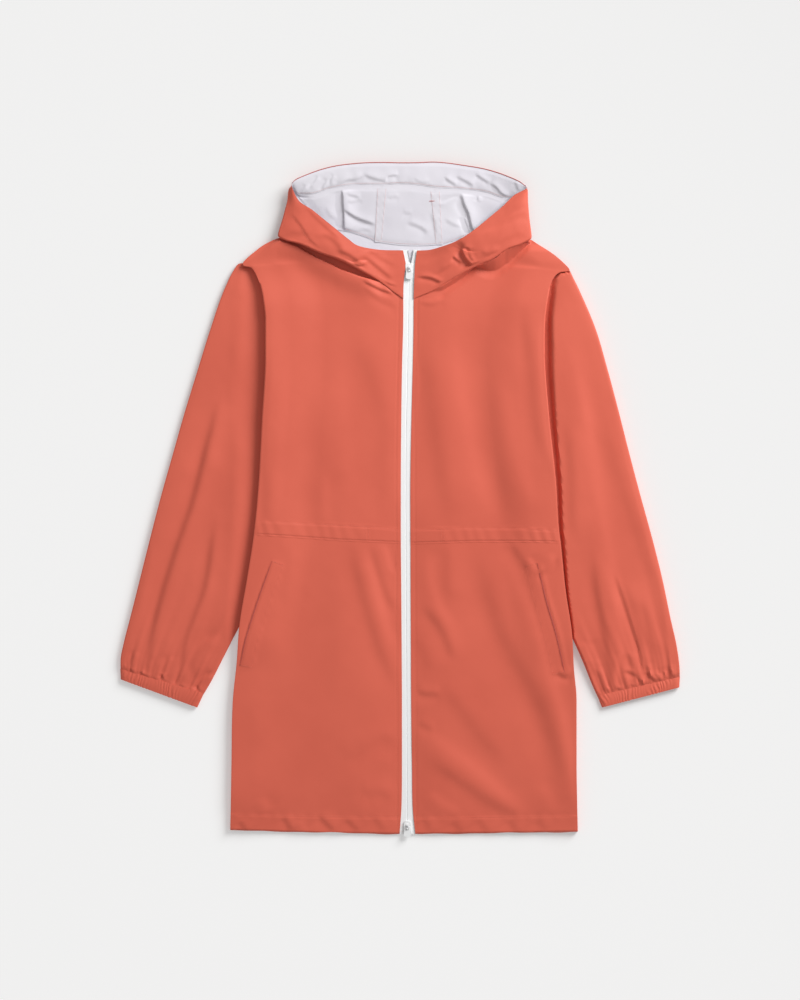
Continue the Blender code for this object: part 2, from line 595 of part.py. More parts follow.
def make_facing(lines, collection):
    """The strip inside the brim, made from the hood's own points moved out."""
    start = UNDER_STEPS + 2
    rows = [hood_line(line)[start:] for line in lines]
    lift = (WALL + THIN) / 2 + GAP
    raised = []
    for row in rows:
        slope = (row[-1] - row[0]).normalized()
        out = Vector((-slope.x, -slope.y, 0)).normalized() * slope.z
        out.z = math.hypot(slope.x, slope.y)
        raised.append([point + out * lift for point in row])
    add_sheet("hood_brim_facing", raised, INSIDE, collection, THIN)


def make_seam_tape(name, seam_line, side_line, centre_line, collection):
    """A tape over the seam between the hood's side and its centre, from the neck up to the brim."""
    middle = hood_line(seam_line)[:UNDER_STEPS + 1]
    rows = []
    lift = Vector((0, 0, (WALL + THIN) / 2 + GAP))
    neighbours = (hood_line(side_line)[:UNDER_STEPS + 1], hood_line(centre_line)[:UNDER_STEPS + 1])
    for i, point in enumerate(middle):
        line = []
        for near in neighbours:
            toward = near[i] - point
            line.append(point + toward * min(SEAM_TAPE_HALF / toward.length, 1.0) + lift)
        line.insert(1, point + lift)
        rows.append(line)
    add_sheet(name, rows, INSIDE, collection, THIN)


def make_crown_layers(lines, corners, collection):
    """The crown's hidden layers as one rounded slab, with a groove round its edge between two folds."""
    inner = []
    outer = []
    for number, line in enumerate(lines):
        past_corner = number < corners[0] or number >= len(lines) - corners[1]
        points = hood_line(line)
        edge = points[UNDER_STEPS + 1] if past_corner else points[-1]
        base = points[0]
        toward = (base - edge).normalized()
        inner.append((points[2].x, points[2].y))
        outer.append((edge.x + toward.x * CROWN_INSET, edge.y + toward.y * CROWN_INSET))
    loop = [Vector(point) for point in outer + inner[::-1]]
    half = CROWN_THICKNESS / 2
    profile = (
        (0.0012, 0.0), (0.0, 0.3 * half), (0.0, 0.7 * half), (0.0025, 0.96 * half),
        (0.0025, 1.04 * half), (0.0, 1.3 * half), (0.0, 1.7 * half), (0.0012, 2 * half),
    )
    shape = bmesh.new()
    rings = []
    for inset, height in profile:
        ring = []
        for i, point in enumerate(loop):
            before = loop[i - 1]
            after = loop[(i + 1) % len(loop)]
            run = (after - before).normalized()
            inward = Vector((run.y, -run.x))
            spot = point + inward * inset
            ring.append(shape.verts.new((spot.x, spot.y, height)))
        rings.append(ring)
    for ring, above in zip(rings, rings[1:]):
        for i in range(len(ring)):
            j = (i + 1) % len(ring)
            shape.faces.new((ring[i], ring[j], above[j], above[i]))
    shape.faces.new(rings[0])
    shape.faces.new(rings[-1])
    bmesh.ops.recalc_face_normals(shape, faces=shape.faces)
    mesh = bpy.data.meshes.new("hood_crown_layers")
    shape.to_mesh(mesh)
    shape.free()
    place("hood_crown_layers", mesh, SHELL, collection)


def rounded_plate(name, length, width, far_width, thickness, rounding):
    """A plate along Y, its far end of another width, its upright edges rounded."""
    shape = bmesh.new()
    bmesh.ops.create_cube(shape, size=1.0)
    for vert in shape.verts:
        wide = width if vert.co.y > 0 else far_width
        vert.co = Vector((vert.co.x * wide, vert.co.y * length, vert.co.z * thickness))
    upright = [e for e in shape.edges if abs(e.verts[0].co.z - e.verts[1].co.z) > thickness / 2]
    bmesh.ops.bevel(shape, geom=upright, offset=rounding, segments=4, affect="EDGES", profile=0.5)
    mesh = bpy.data.meshes.new(name)
    shape.to_mesh(mesh)
    shape.free()
    return mesh


def box_mesh(name, low, high):
    shape = bmesh.new()
    bmesh.ops.create_cube(shape, size=1.0)
    centre = (Vector(low) + Vector(high)) / 2
    size = Vector(high) - Vector(low)
    for vert in shape.verts:
        vert.co = centre + Vector(vert.co[i] * size[i] for i in range(3))
    mesh = bpy.data.meshes.new(name)
    shape.to_mesh(mesh)
    shape.free()
    return mesh


def add_cut(obj, mesh, operation, cutters):
    helper = bpy.data.objects.new(obj.name + "_" + mesh.name, mesh)
    cutters.objects.link(helper)
    helper.location = obj.location
    helper.hide_render = True
    helper.display_type = "WIRE"
    boolean = obj.modifiers.new(mesh.name, "BOOLEAN")
    boolean.operation = operation
    boolean.object = helper
    boolean.solver = "EXACT"


def make_slider(name, hinge, tail_up, collection, cutters):
    """A zip slider with the bridge that carries its pull tab. Its origin is on the tab's hinge line."""
    wide_up, wide_down = (SLIDER_TAIL, SLIDER_WIDTH) if tail_up else (SLIDER_WIDTH, SLIDER_TAIL)
    body = rounded_plate(name, SLIDER_LENGTH, wide_up, wide_down, SLIDER_THICKNESS, SLIDER_ROUNDING)
    drop = PULL_THICKNESS / 2 + PULL_SEAT
    for vert in body.vertices:
        vert.co.z -= drop + SLIDER_THICKNESS / 2
    obj = place(name, body, METAL, collection)
    obj.location = hinge
    outside = BRIDGE_HALF + BRIDGE_WIRE / 2
    inside = BRIDGE_HALF - BRIDGE_WIRE / 2
    side = BRIDGE_WIDTH / 2
    foot = -drop - SLIDER_THICKNESS / 2
    bridge = box_mesh("bridge", (-side, -outside, foot), (side, outside, BRIDGE_ROOM + BRIDGE_WIRE))
    tunnel = box_mesh("tunnel", (-2 * side, -inside, -drop), (2 * side, inside, BRIDGE_ROOM))
    add_cut(obj, bridge, "UNION", cutters)
    add_cut(obj, tunnel, "DIFFERENCE", cutters)
    bevel = obj.modifiers.new("Edges", "BEVEL")
    bevel.width = METAL_EDGE
    bevel.segments = 2
    bevel.limit_method = "ANGLE"
    return obj


def make_pull(name, hinge, collection, cutters):
    """A pull tab with a window that swings clear of the bridge. Its origin is on its hinge line."""
    back_reach = PULL_THICKNESS / 2
    plate = rounded_plate(
        name, PULL_LENGTH + back_reach, PULL_NECK * PULL_WIDTH, PULL_WIDTH, PULL_THICKNESS, PULL_ROUNDING
    )
    for vert in plate.vertices:
        vert.co.y -= (PULL_LENGTH - back_reach) / 2
    obj = place(name, plate, METAL, collection)
    obj.location = hinge
    half = BRIDGE_WIDTH / 2 + PULL_CLEARANCE
    near = -back_reach
    far = -math.hypot(BRIDGE_HALF + BRIDGE_WIRE / 2, BRIDGE_ROOM + BRIDGE_WIRE) - PULL_CLEARANCE
    window = box_mesh("window", (-half, far, -PULL_THICKNESS), (half, near, PULL_THICKNESS))
    add_cut(obj, window, "DIFFERENCE", cutters)
    return obj


def make_zip(collection, cutters):
    make_zip_tape("right", collection)
    make_zip_tape("left", collection)
    seat = TAPE_MIDDLE + THIN / 2 + GAP
    height = seat + SLIDER_THICKNESS + PULL_SEAT + PULL_THICKNESS / 2
    for place_name, y, tail_up in (("top", TOP_HINGE_Y, False), ("bottom", BOTTOM_HINGE_Y, True)):
        hinge = Vector((along(ZIP_POINTS, "y", y, "x"), y, height))
        make_slider("slider_" + place_name, hinge, tail_up, collection, cutters)
        make_pull("pull_tab_" + place_name, hinge, collection, cutters)


clear_scene()
jacket = new_collection("rain_jacket")
helpers = new_collection("cutters")
ZIP_POINTS = zip_points()
body_rows, body_marks = smooth_rows(BODY, ROW_SPACING)
make_body(body_rows, body_marks, jacket)
make_sleeve("sleeve_right", RIGHT_SLEEVE, body_rows, jacket)
make_sleeve("sleeve_left", LEFT_SLEEVE, body_rows, jacket)
make_cuff("cuff_right", RIGHT_CUFF, jacket)
make_cuff("cuff_left", LEFT_CUFF, jacket)
make_hood(jacket)
make_zip(jacket, helpers)
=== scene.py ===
import math

import bpy
import numpy as np
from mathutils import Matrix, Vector
from mathutils.bvhtree import BVHTree


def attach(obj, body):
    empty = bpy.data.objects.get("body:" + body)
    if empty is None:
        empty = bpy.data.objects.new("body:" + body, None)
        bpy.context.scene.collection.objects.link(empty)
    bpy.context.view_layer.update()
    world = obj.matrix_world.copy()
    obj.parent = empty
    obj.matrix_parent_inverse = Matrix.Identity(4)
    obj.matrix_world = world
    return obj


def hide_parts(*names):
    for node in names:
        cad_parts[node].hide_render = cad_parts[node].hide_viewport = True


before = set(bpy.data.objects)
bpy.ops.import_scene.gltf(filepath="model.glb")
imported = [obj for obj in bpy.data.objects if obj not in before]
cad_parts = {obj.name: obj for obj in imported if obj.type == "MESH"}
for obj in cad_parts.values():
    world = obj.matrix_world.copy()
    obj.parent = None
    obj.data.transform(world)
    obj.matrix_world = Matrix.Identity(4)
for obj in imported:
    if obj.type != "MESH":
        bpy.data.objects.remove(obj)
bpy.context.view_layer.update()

mm = 0.001  # lengths and places below are in millimetres unless noted
sharpAngle = math.radians(42)  # edges that turn more than this stay crisp
skyHeight = 60.0  # rays that look for a surface from above start here


def smoothStep(low, high, value):
    share = np.clip((value - low) / (high - low), 0.0, 1.0)
    return share * share * (3.0 - 2.0 * share)


def bell(distance, width):
    return np.exp(-((distance / width) ** 2))


def columns(table):
    return np.array(table, float).T


def readAt(table, key):
    # a two-column table read at a key, with straight lines between its rows
    return np.interp(key, *columns(table))


def curveThrough(keys, values, wanted):
    # smooth curve through the given points, read at the wanted keys
    keys = np.asarray(keys, float)
    values = np.asarray(values, float)
    steps = np.diff(keys).reshape((-1,) + (1,) * (values.ndim - 1))
    rates = np.diff(values, axis=0) / steps
    before, after = rates[:-1], rates[1:]
    mean = (before * steps[1:] + after * steps[:-1]) / (steps[1:] + steps[:-1])
    limit = 3 * np.minimum(np.abs(before), np.abs(after))
    inner = np.where(before * after > 0, np.sign(mean) * np.minimum(np.abs(mean), limit), 0.0)
    slopes = np.concatenate([rates[:1], inner, rates[-1:]])
    index = np.clip(np.searchsorted(keys, wanted) - 1, 0, len(keys) - 2)
    width = keys[index + 1] - keys[index]
    share = (wanted - keys[index]) / width
    if values.ndim == 2:
        width, share = width[:, None], share[:, None]
    square, cube = share ** 2, share ** 3
    return (
        (2 * cube - 3 * square + 1) * values[index]
        + (cube - 2 * square + share) * width * slopes[index]
        + (3 * square - 2 * cube) * values[index + 1]
        + (cube - square) * width * slopes[index + 1]
    )


def rowsBetween(table, shares):
    # reads a table of rows at shares from 0 to 1 of its whole run
    table = np.asarray(table, float)
    gaps = np.abs(np.diff(table, axis=0)).max(axis=1)
    keys = np.concatenate([[0.0], np.cumsum(gaps)])
    return curveThrough(keys, table, np.asarray(shares) * keys[-1])


def pathLengths(path):
    # lengths between a path's points, and how far along it each point lies
    runs = np.hypot(*np.diff(path, axis=0).T)
    return runs, np.concatenate([[0.0], np.cumsum(runs)])


def nearPath(x, y, path, steps=22):
    # signed distance from a smooth path, positive on its left, and how far along it, 0 to 1
    path = np.asarray(path, float)
    runs, done = pathLengths(path)
    done = done / runs.sum()
    if len(path) > 2:
        path = curveThrough(done, path, np.linspace(0, 1, steps))
        runs, done = pathLengths(path)
        done = done / runs.sum()
    nearest = np.full(x.shape, 1e9)
    signed = np.zeros_like(x)
    place = np.zeros_like(x)
    for i, run in enumerate(runs):
        dx, dy = (path[i + 1] - path[i]) / run
        offX, offY = x - path[i, 0], y - path[i, 1]
        free = offX * dx + offY * dy
        ahead = np.clip(free, 0.0, run)
        distance = np.hypot(offX - ahead * dx, offY - ahead * dy)
        closer = distance < nearest
        nearest = np.where(closer, distance, nearest)
        signed = np.where(closer, np.where(dx * offY - dy * offX < 0, -distance, distance), signed)
        low = -1e3 if i == 0 else 0.0
        high = 1e3 if i == len(runs) - 1 else run
        share = done[i] + np.clip(free, low, high) / run * (done[i + 1] - done[i])
        place = np.where(closer, share, place)
    return signed, place


def bandShape(x, y, folds):
    # each fold is a slope along a path: the lift of its left side, its half width,
    # how far it fades, then the path's points, x and y in turn
    total = np.zeros_like(x)
    for lift, width, fade, *spots in folds:
        path = np.reshape(spots, (-1, 2))
        low, high = np.min(path, axis=0) - 2.6 * fade, np.max(path, axis=0) + 2.6 * fade
        near = np.nonzero((x > low[0]) & (x < high[0]) & (y > low[1]) & (y < high[1]))[0]
        signed, place = nearPath(x[near], y[near], path)
        ends = smoothStep(-0.05, 0.25, place) * smoothStep(-0.05, 0.22, 1 - place)
        total[near] += lift * np.tanh(signed / width) * bell(signed, fade) * ends
    return total


def ripple(x, y, size, seed):
    # gentle unevenness of hand-laid cloth: a few crossing waves about size long
    total = np.zeros_like(x)
    for i in range(6):
        turn = 1.9 * i + seed
        pitch = size * (0.7 + 0.23 * i)
        run = x * math.cos(turn) + y * math.sin(turn)
        bend = 0.6 * np.sin((x * math.sin(turn) - y * math.cos(turn)) / (1.7 * pitch) + seed * (i + 1))
        total += np.sin(2 * math.pi * run / pitch + 2.3 * i + bend) / 6
    return total


def roundOver(distance, radius):
    # quarter circle: 0 at an edge, 1 from radius inwards
    share = 1.0 - np.clip(distance / radius, 0.0, 1.0)
    return np.sqrt(np.clip(1.0 - share * share, 0.0, 1.0))


def readPoints(piece):
    points = np.empty(len(piece.data.vertices) * 3, np.float32)
    piece.data.vertices.foreach_get("co", points)
    return points.reshape(-1, 3).astype(float)


def movePoints(piece, x, y, z):
    points = np.stack([x, y, z], axis=1) * mm
    piece.data.vertices.foreach_set("co", points.astype(np.float32).ravel())
    piece.data.update()


def addGrid(name, across, down):
    # a flat grid, and each point's share across it and down it
    bpy.ops.object.select_all(action="DESELECT")
    bpy.ops.mesh.primitive_grid_add(x_subdivisions=across, y_subdivisions=down, size=1.0)
    piece = bpy.context.object
    piece.name = name
    piece.data.name = name
    flat = readPoints(piece)
    return piece, flat[:, 0] + 0.5, flat[:, 1] + 0.5


def pick(piece):
    bpy.ops.object.select_all(action="DESELECT")
    piece.select_set(True)
    bpy.context.view_layer.objects.active = piece


def editWhole(piece, mend=None):
    # one step in edit mode, after which the faces look outwards
    pick(piece)
    bpy.ops.object.mode_set(mode="EDIT")
    bpy.ops.mesh.select_all(action="SELECT")
    if mend:
        mend()
    bpy.ops.mesh.normals_make_consistent(inside=False)
    bpy.ops.object.mode_set(mode="OBJECT")


def mergeSeam(piece, distance):
    editWhole(piece, lambda: bpy.ops.mesh.remove_doubles(threshold=distance * mm))


def fillEnds():
    # inside editWhole: fills the open ends of a tube
    bpy.ops.mesh.select_mode(type="EDGE")
    bpy.ops.mesh.select_all(action="DESELECT")
    bpy.ops.mesh.select_non_manifold()
    bpy.ops.mesh.fill()
    bpy.ops.mesh.select_all(action="SELECT")


def faceUp(piece, way=1.0):
    # turns an open sheet's faces so that most of them look up, or down where way is -1
    tilt = sum(face.normal.z * face.area for face in piece.data.polygons)
    if tilt * way < 0:
        piece.data.flip_normals()


def shadeSmooth(piece):
    piece.data.shade_smooth()
    piece.data.set_sharp_from_angle(angle=sharpAngle)


def finishSheet(piece, material, wall, inner=None):
    # gives a sheet its wall, its finish, another one inside if there is one, and smooth shading
    pick(piece)
    piece.data.materials.append(material)
    solid = piece.modifiers.new("Wall", "SOLIDIFY")
    solid.thickness = wall * mm
    solid.offset = 0.0
    if inner:
        piece.data.materials.append(inner)
        solid.material_offset = 1
    bpy.ops.object.modifier_apply(modifier=solid.name)
    shadeSmooth(piece)


def belong(piece, slot, *nodes):
    # every piece made here rides the garment and stands for its CAD nodes
    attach(piece, "garment")
    if nodes:
        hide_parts(*nodes)
    return piece


def setInputs(node, values):
    for name, value in values.items():
        node.inputs[name].default_value = value


def addNode(material, kind, values=None, **settings):
    node = material.node_tree.nodes.new(kind)
    for name, value in settings.items():
        setattr(node, name, value)
    setInputs(node, values or {})
    return node


def newFinish(name, values):
    # a material, its shader, the call that links two sockets, and the place on the object
    material = bpy.data.materials.new(name)
    material.use_nodes = True
    shader = material.node_tree.nodes["Principled BSDF"]
    setInputs(shader, values)
    place = addNode(material, "ShaderNodeTexCoord").outputs["Object"]
    return material, shader, material.node_tree.links.new, place


studio = {
    "cameraHeight": 3.54,       # metres, straight above the jacket
    "lens": 85.0,
    "floorSize": 14.0,          # metres
    "floorShade": 0.70,
    "floorGlow": 0.530,         # far from the key light
    "floorFalloff": 17.2,       # glow taken away where the key light already brightens the floor
    "keyPlace": (2.25, 2.25, 1.80),
    "keySize": 2.1,
    "keyPower": 161.0,
    "fillPower": 0.45,
}


def addHolder(name, data, place):
    holder = bpy.data.objects.new(name, data)
    holder.location = place
    bpy.context.scene.collection.objects.link(holder)
    return holder


def makePaper():
    # the sheet under the jacket stays evenly bright although the key light stands to one side
    shade = studio["floorShade"]
    paper, shader, link, place = newFinish("palePaper", {
        "Base Color": (shade, shade, shade, 1.0), "Roughness": 0.9, "Specular IOR Level": 0.1,
        "Emission Color": (1.0, 1.0, 1.0, 1.0),
    })
    away = addNode(paper, "ShaderNodeVectorMath", operation="DISTANCE")
    away.inputs[1].default_value = studio["keyPlace"]
    link(place, away.inputs[0])
    falloff = addNode(paper, "ShaderNodeMath", operation="POWER")
    falloff.inputs[1].default_value = -3.0
    link(away.outputs["Value"], falloff.inputs[0])
    glow = addNode(paper, "ShaderNodeMath", operation="MULTIPLY_ADD")
    glow.inputs[1].default_value = -studio["floorFalloff"]
    glow.inputs[2].default_value = studio["floorGlow"]
    link(falloff.outputs["Value"], glow.inputs[0])
    link(glow.outputs["Value"], shader.inputs["Emission Strength"])
    return paper


def makeStudio():
    scene = bpy.context.scene
    camera = bpy.data.cameras.new("camera")
    camera.lens = studio["lens"]
    camera.clip_start = 0.05
    scene.camera = addHolder("camera", camera, (0.0, 0.0, studio["cameraHeight"]))

    bpy.ops.object.select_all(action="DESELECT")
    bpy.ops.mesh.primitive_plane_add(size=studio["floorSize"], location=(0.0, 0.0, -0.0004))
    floor = bpy.context.object
    floor.name = "floor"
    floor.data.materials.append(makePaper())

    key = bpy.data.lights.new("keyLight", "AREA")
    key.shape = "DISK"
    key.size = studio["keySize"]
    key.energy = studio["keyPower"]
    turned = (-Vector(studio["keyPlace"])).to_track_quat("-Z", "Y").to_euler()
    addHolder("keyLight", key, studio["keyPlace"]).rotation_euler = turned

    world = bpy.data.worlds.new("softRoom")
    world.use_nodes = True
    setInputs(world.node_tree.nodes["Background"],
              {"Color": (1.0, 0.99, 0.98, 1.0), "Strength": studio["fillPower"]})
    scene.world = world
    scene.view_settings.view_transform = "Standard"
    scene.view_settings.look = "None"


makeStudio()
print("studio ready")


cloth = {
    # colour, shaded colour, roughness, depth of its small crumples
    "coralCloth": ((0.690, 0.127, 0.077, 1.0), (0.648, 0.115, 0.069, 1.0), 0.58, 0.55),
    "paleLining": ((0.745, 0.722, 0.775, 1.0), (0.700, 0.672, 0.735, 1.0), 0.62, 0.9),
    # a darker copy of the coral cloth: painted shade on the rolled rim edge and in the pocket openings, and the small
    # tack's colour
    "darkCoralAndPaintedShade": ((0.50, 0.085, 0.070, 1.0), (0.46, 0.078, 0.064, 1.0), 0.6, 0.3),
    "weavePitch": 0.55,         # between two threads
    "weaveDepth": 0.10,
}
plain = {
    # colour, roughness, coat, grain's scale and depth
    "paleTape": ((0.745, 0.715, 0.77, 1.0), 0.5, 0.0, 700.0, 0.15),
    "coralThread": ((0.74, 0.17, 0.105, 1.0), 0.55, 0.0, 0.0, 0.0),
    "pinkThread": ((0.74, 0.42, 0.40, 1.0), 0.6, 0.0, 0.0, 0.0),
    "zipTapeWeave": ((0.91, 0.915, 0.92, 1.0), 0.5, 0.0, 1400.0, 0.12),
    "whiteEnamel": ((0.88, 0.885, 0.89, 1.0), 0.28, 0.4, 0.0, 0.0),
    # grey of the zip's coil, and painted shade for the sliders' holes
    "greyCoilAndHoleShade": ((0.42, 0.42, 0.44, 1.0), 0.35, 0.0, 0.0, 0.0),
}


def clothFinish(name):
    colour, shadeColour, roughness, creaseDepth = cloth[name]
    material, shader, link, place = newFinish(name, {
        "Roughness": roughness, "Specular IOR Level": 0.32, "Sheen Weight": 0.08, "Sheen Roughness": 0.5})

    # broad, faint changes of tone
    broad = addNode(material, "ShaderNodeTexNoise", {"Scale": 9.0, "Detail": 3.0, "Roughness": 0.5})
    link(place, broad.inputs["Vector"])
    tone = addNode(material, "ShaderNodeMix", {"A": colour, "B": shadeColour}, data_type="RGBA")
    reach = addNode(material, "ShaderNodeMapRange", {"From Min": 0.35, "From Max": 0.70})
    link(broad.outputs["Fac"], reach.inputs["Value"])
    link(reach.outputs["Result"], tone.inputs["Factor"])

    # plain weave: warp and weft threads
    weave = addNode(material, "ShaderNodeMath", operation="MULTIPLY")
    for i, direction in enumerate(("X", "Y")):
        wave = addNode(material, "ShaderNodeTexWave", {
            "Scale": 0.314 / (cloth["weavePitch"] * mm), "Distortion": 0.25, "Detail": 1.0, "Detail Scale": 2.0,
        }, wave_type="BANDS", bands_direction=direction, wave_profile="SIN")
        link(place, wave.inputs["Vector"])
        link(wave.outputs["Fac"], weave.inputs[i])

    # small crumples of a coated cloth that has been folded
    crumple = addNode(material, "ShaderNodeTexNoise", {
        "Scale": 38.0, "Detail": 5.0, "Roughness": 0.55, "Distortion": 0.6})
    link(place, crumple.inputs["Vector"])
    crumpleBump = addNode(material, "ShaderNodeBump", {"Strength": 0.25, "Distance": creaseDepth * mm})
    link(crumple.outputs["Fac"], crumpleBump.inputs["Height"])
    weaveBump = addNode(material, "ShaderNodeBump", {"Strength": 0.22, "Distance": cloth["weaveDepth"] * mm})
    link(weave.outputs["Value"], weaveBump.inputs["Height"])
    link(crumpleBump.outputs["Normal"], weaveBump.inputs["Normal"])
    link(weaveBump.outputs["Normal"], shader.inputs["Normal"])

    # painted light: threads are coloured a little lighter than the gaps between them, as if they caught more light
    paintedWeaveLight = addNode(material, "ShaderNodeMapRange", {"To Min": 0.97, "To Max": 1.02})
    link(weave.outputs["Value"], paintedWeaveLight.inputs["Value"])
    # the random tone times the painted weave light gives the base colour
    grain = addNode(material, "ShaderNodeMix", data_type="RGBA", blend_type="MULTIPLY")
    grain.inputs["Factor"].default_value = 1.0
    link(tone.outputs["Result"], grain.inputs["A"])
    link(paintedWeaveLight.outputs["Result"], grain.inputs["B"])
    link(grain.outputs["Result"], shader.inputs["Base Color"])
    return material


def plainFinish(name):
    colour, roughness, coat, grainScale, grainDepth = plain[name]
    material, shader, link, place = newFinish(name, {"Roughness": roughness, "Coat Weight": coat})
    speck = addNode(material, "ShaderNodeTexNoise", {"Scale": 900.0, "Detail": 2.0})
    link(place, speck.inputs["Vector"])
    darker = tuple(0.9 * part for part in colour[:3]) + (1.0,)
    tone = addNode(material, "ShaderNodeMix", {"A": colour, "B": darker}, data_type="RGBA")
    link(speck.outputs["Fac"], tone.inputs["Factor"])
    link(tone.outputs["Result"], shader.inputs["Base Color"])
    if grainDepth:
        grain = addNode(material, "ShaderNodeTexNoise", {"Scale": grainScale, "Detail": 3.0})
        link(place, grain.inputs["Vector"])
        bump = addNode(material, "ShaderNodeBump", {"Strength": 0.3, "Distance": grainDepth * mm})
        link(grain.outputs["Fac"], bump.inputs["Height"])
        link(bump.outputs["Normal"], shader.inputs["Normal"])
    return material


coralCloth, paleLining, darkCoralAndPaintedShade = (clothFinish(name) for name in ("coralCloth", "paleLining", "darkCoralAndPaintedShade"))
paleTape, coralThread, pinkThread, zipTapeWeave, whiteEnamel, greyCoilAndHoleShade = (plainFinish(name) for name in plain)
print("finishes ready")


body = {
    # right side edge, right zip or neck edge, left zip or neck edge, left side edge, hem to shoulder
    "rows": [
        (-254, -494.5, -0.6, -500.5, 23, -500.5, 266, -497), (-253, -455, 2.2, -460, 19, -460, 265, -456),
        (-252, -396, 2.9, -400, 18, -400, 264, -396), (-250, -300, 2.9, -300, 16.8, -300, 264, -300),
        (-244, -241, 2.6, -240, 16.5, -246, 260, -252), (-240, -188, 2.3, -190, 16.3, -195, 257, -201),
        (-228, -115, 1.8, -125, 16, -128, 247, -132), (-218.5, -53, 1.3, -65.5, 15.8, -66, 240, -64.5),
        (-216, -31, 1.2, -43, 15.7, -43.5, 237.5, -45), (-211.5, 20, 1.2, 10, 15.6, 12, 233.5, 20),
        (-206, 120, 1.8, 110, 17, 112, 222.5, 128), (-201, 215, 3.2, 205, 19.2, 206, 216, 222),
        (-201, 269, 4.8, 264, 20.4, 264, 216.5, 264), (-203, 292, 5.0, 292, 20.5, 292, 218.8, 288),
        (-205.5, 309, 4.2, 307, 21.5, 307, 222, 307),
        (-211, 327, -24, 335, 54, 329, 227, 328), (-222, 347, -62, 358, 84, 354, 239, 340.5),
        (-235, 353, -92, 374, 110, 366, 253.5, 344), (-214, 374, -115, 389, 134, 380, 237, 361.5),
        (-185, 391.5, -132, 407, 154, 407, 197, 389.5),
    ],
    "backNeck": [(-185, 391.5), (-132, 408), (-84, 404.5), (-45, 393), (0, 385.5), (22, 384.5), (60, 386.5),
                 (109.5, 401), (154, 408), (197, 389.5)],
    "zipLine": [(-500.5, 11.2), (-480, 10.8), (-300, 9.9), (15, 8.4), (105, 9), (195, 11), (285, 12.6),
                (352, 14), (374.5, 15)],
    "lip": [(-184, 393), (-153, 385), (-128, 373), (-97, 362), (-73, 351), (-55, 342), (-26, 327), (0, 303),
            (27, 304), (36, 312), (64, 322), (91, 340), (112, 351), (127, 355), (142, 362), (158, 375),
            (178, 384), (196, 389)],
    "wall": 0.6,
    "sideLift": 3.5,            # over the sleeves' hidden edges
    "sidePuff": 8.6,            # how far the sides stand above the back
    "middlePuff": 4.2,
    "sideTurn": 1.8,            # cloth that turns under along the sides
    "sideRadius": 0.5,
    "denseRows": [(-480, 16, 3.0), (-52, 18, 4.0), (342, 45, 1.8)],  # y, reach and how many more rows there
    "hemRound": 3.0,
    # how far a front opens below the hood's fold, by x
    "slots": [(-184, 2), (-165, 3), (-120, 8), (-90, 12), (-60, 8.5), (-42, 4.5), (-28, 1), (30, 1), (40, 4), (60, 9),
              (92, 9), (106, 4), (113, 1.5), (120, 6), (133, 15), (150, 22), (162, 22), (177, 15),
              (192, 4)],
    # right of the zip the cloth climbs to the hood's fold: x, height there
    "climb": [(28, 2.4), (40, 3.4), (54, 5.4), (70, 8.0), (87, 9.8), (100, 12.0), (113, 13.5),
              (125, 14.5), (136, 15.2), (160, 15.6), (183, 15.2), (194, 8)],
    "hemWidth": 25.0,
    "casingRaise": 0.6,
    "zipStitch": 7.2,           # from a front's zip edge to its topstitching
    "weltWidth": 17.6,          # from a pocket's opening to the stitches beyond its welt
    "turnUnder": math.radians(150),
    "foldStrength": 1.02,
    "frontPoints": (100, 380),
    "backPoints": (80, 110),
}
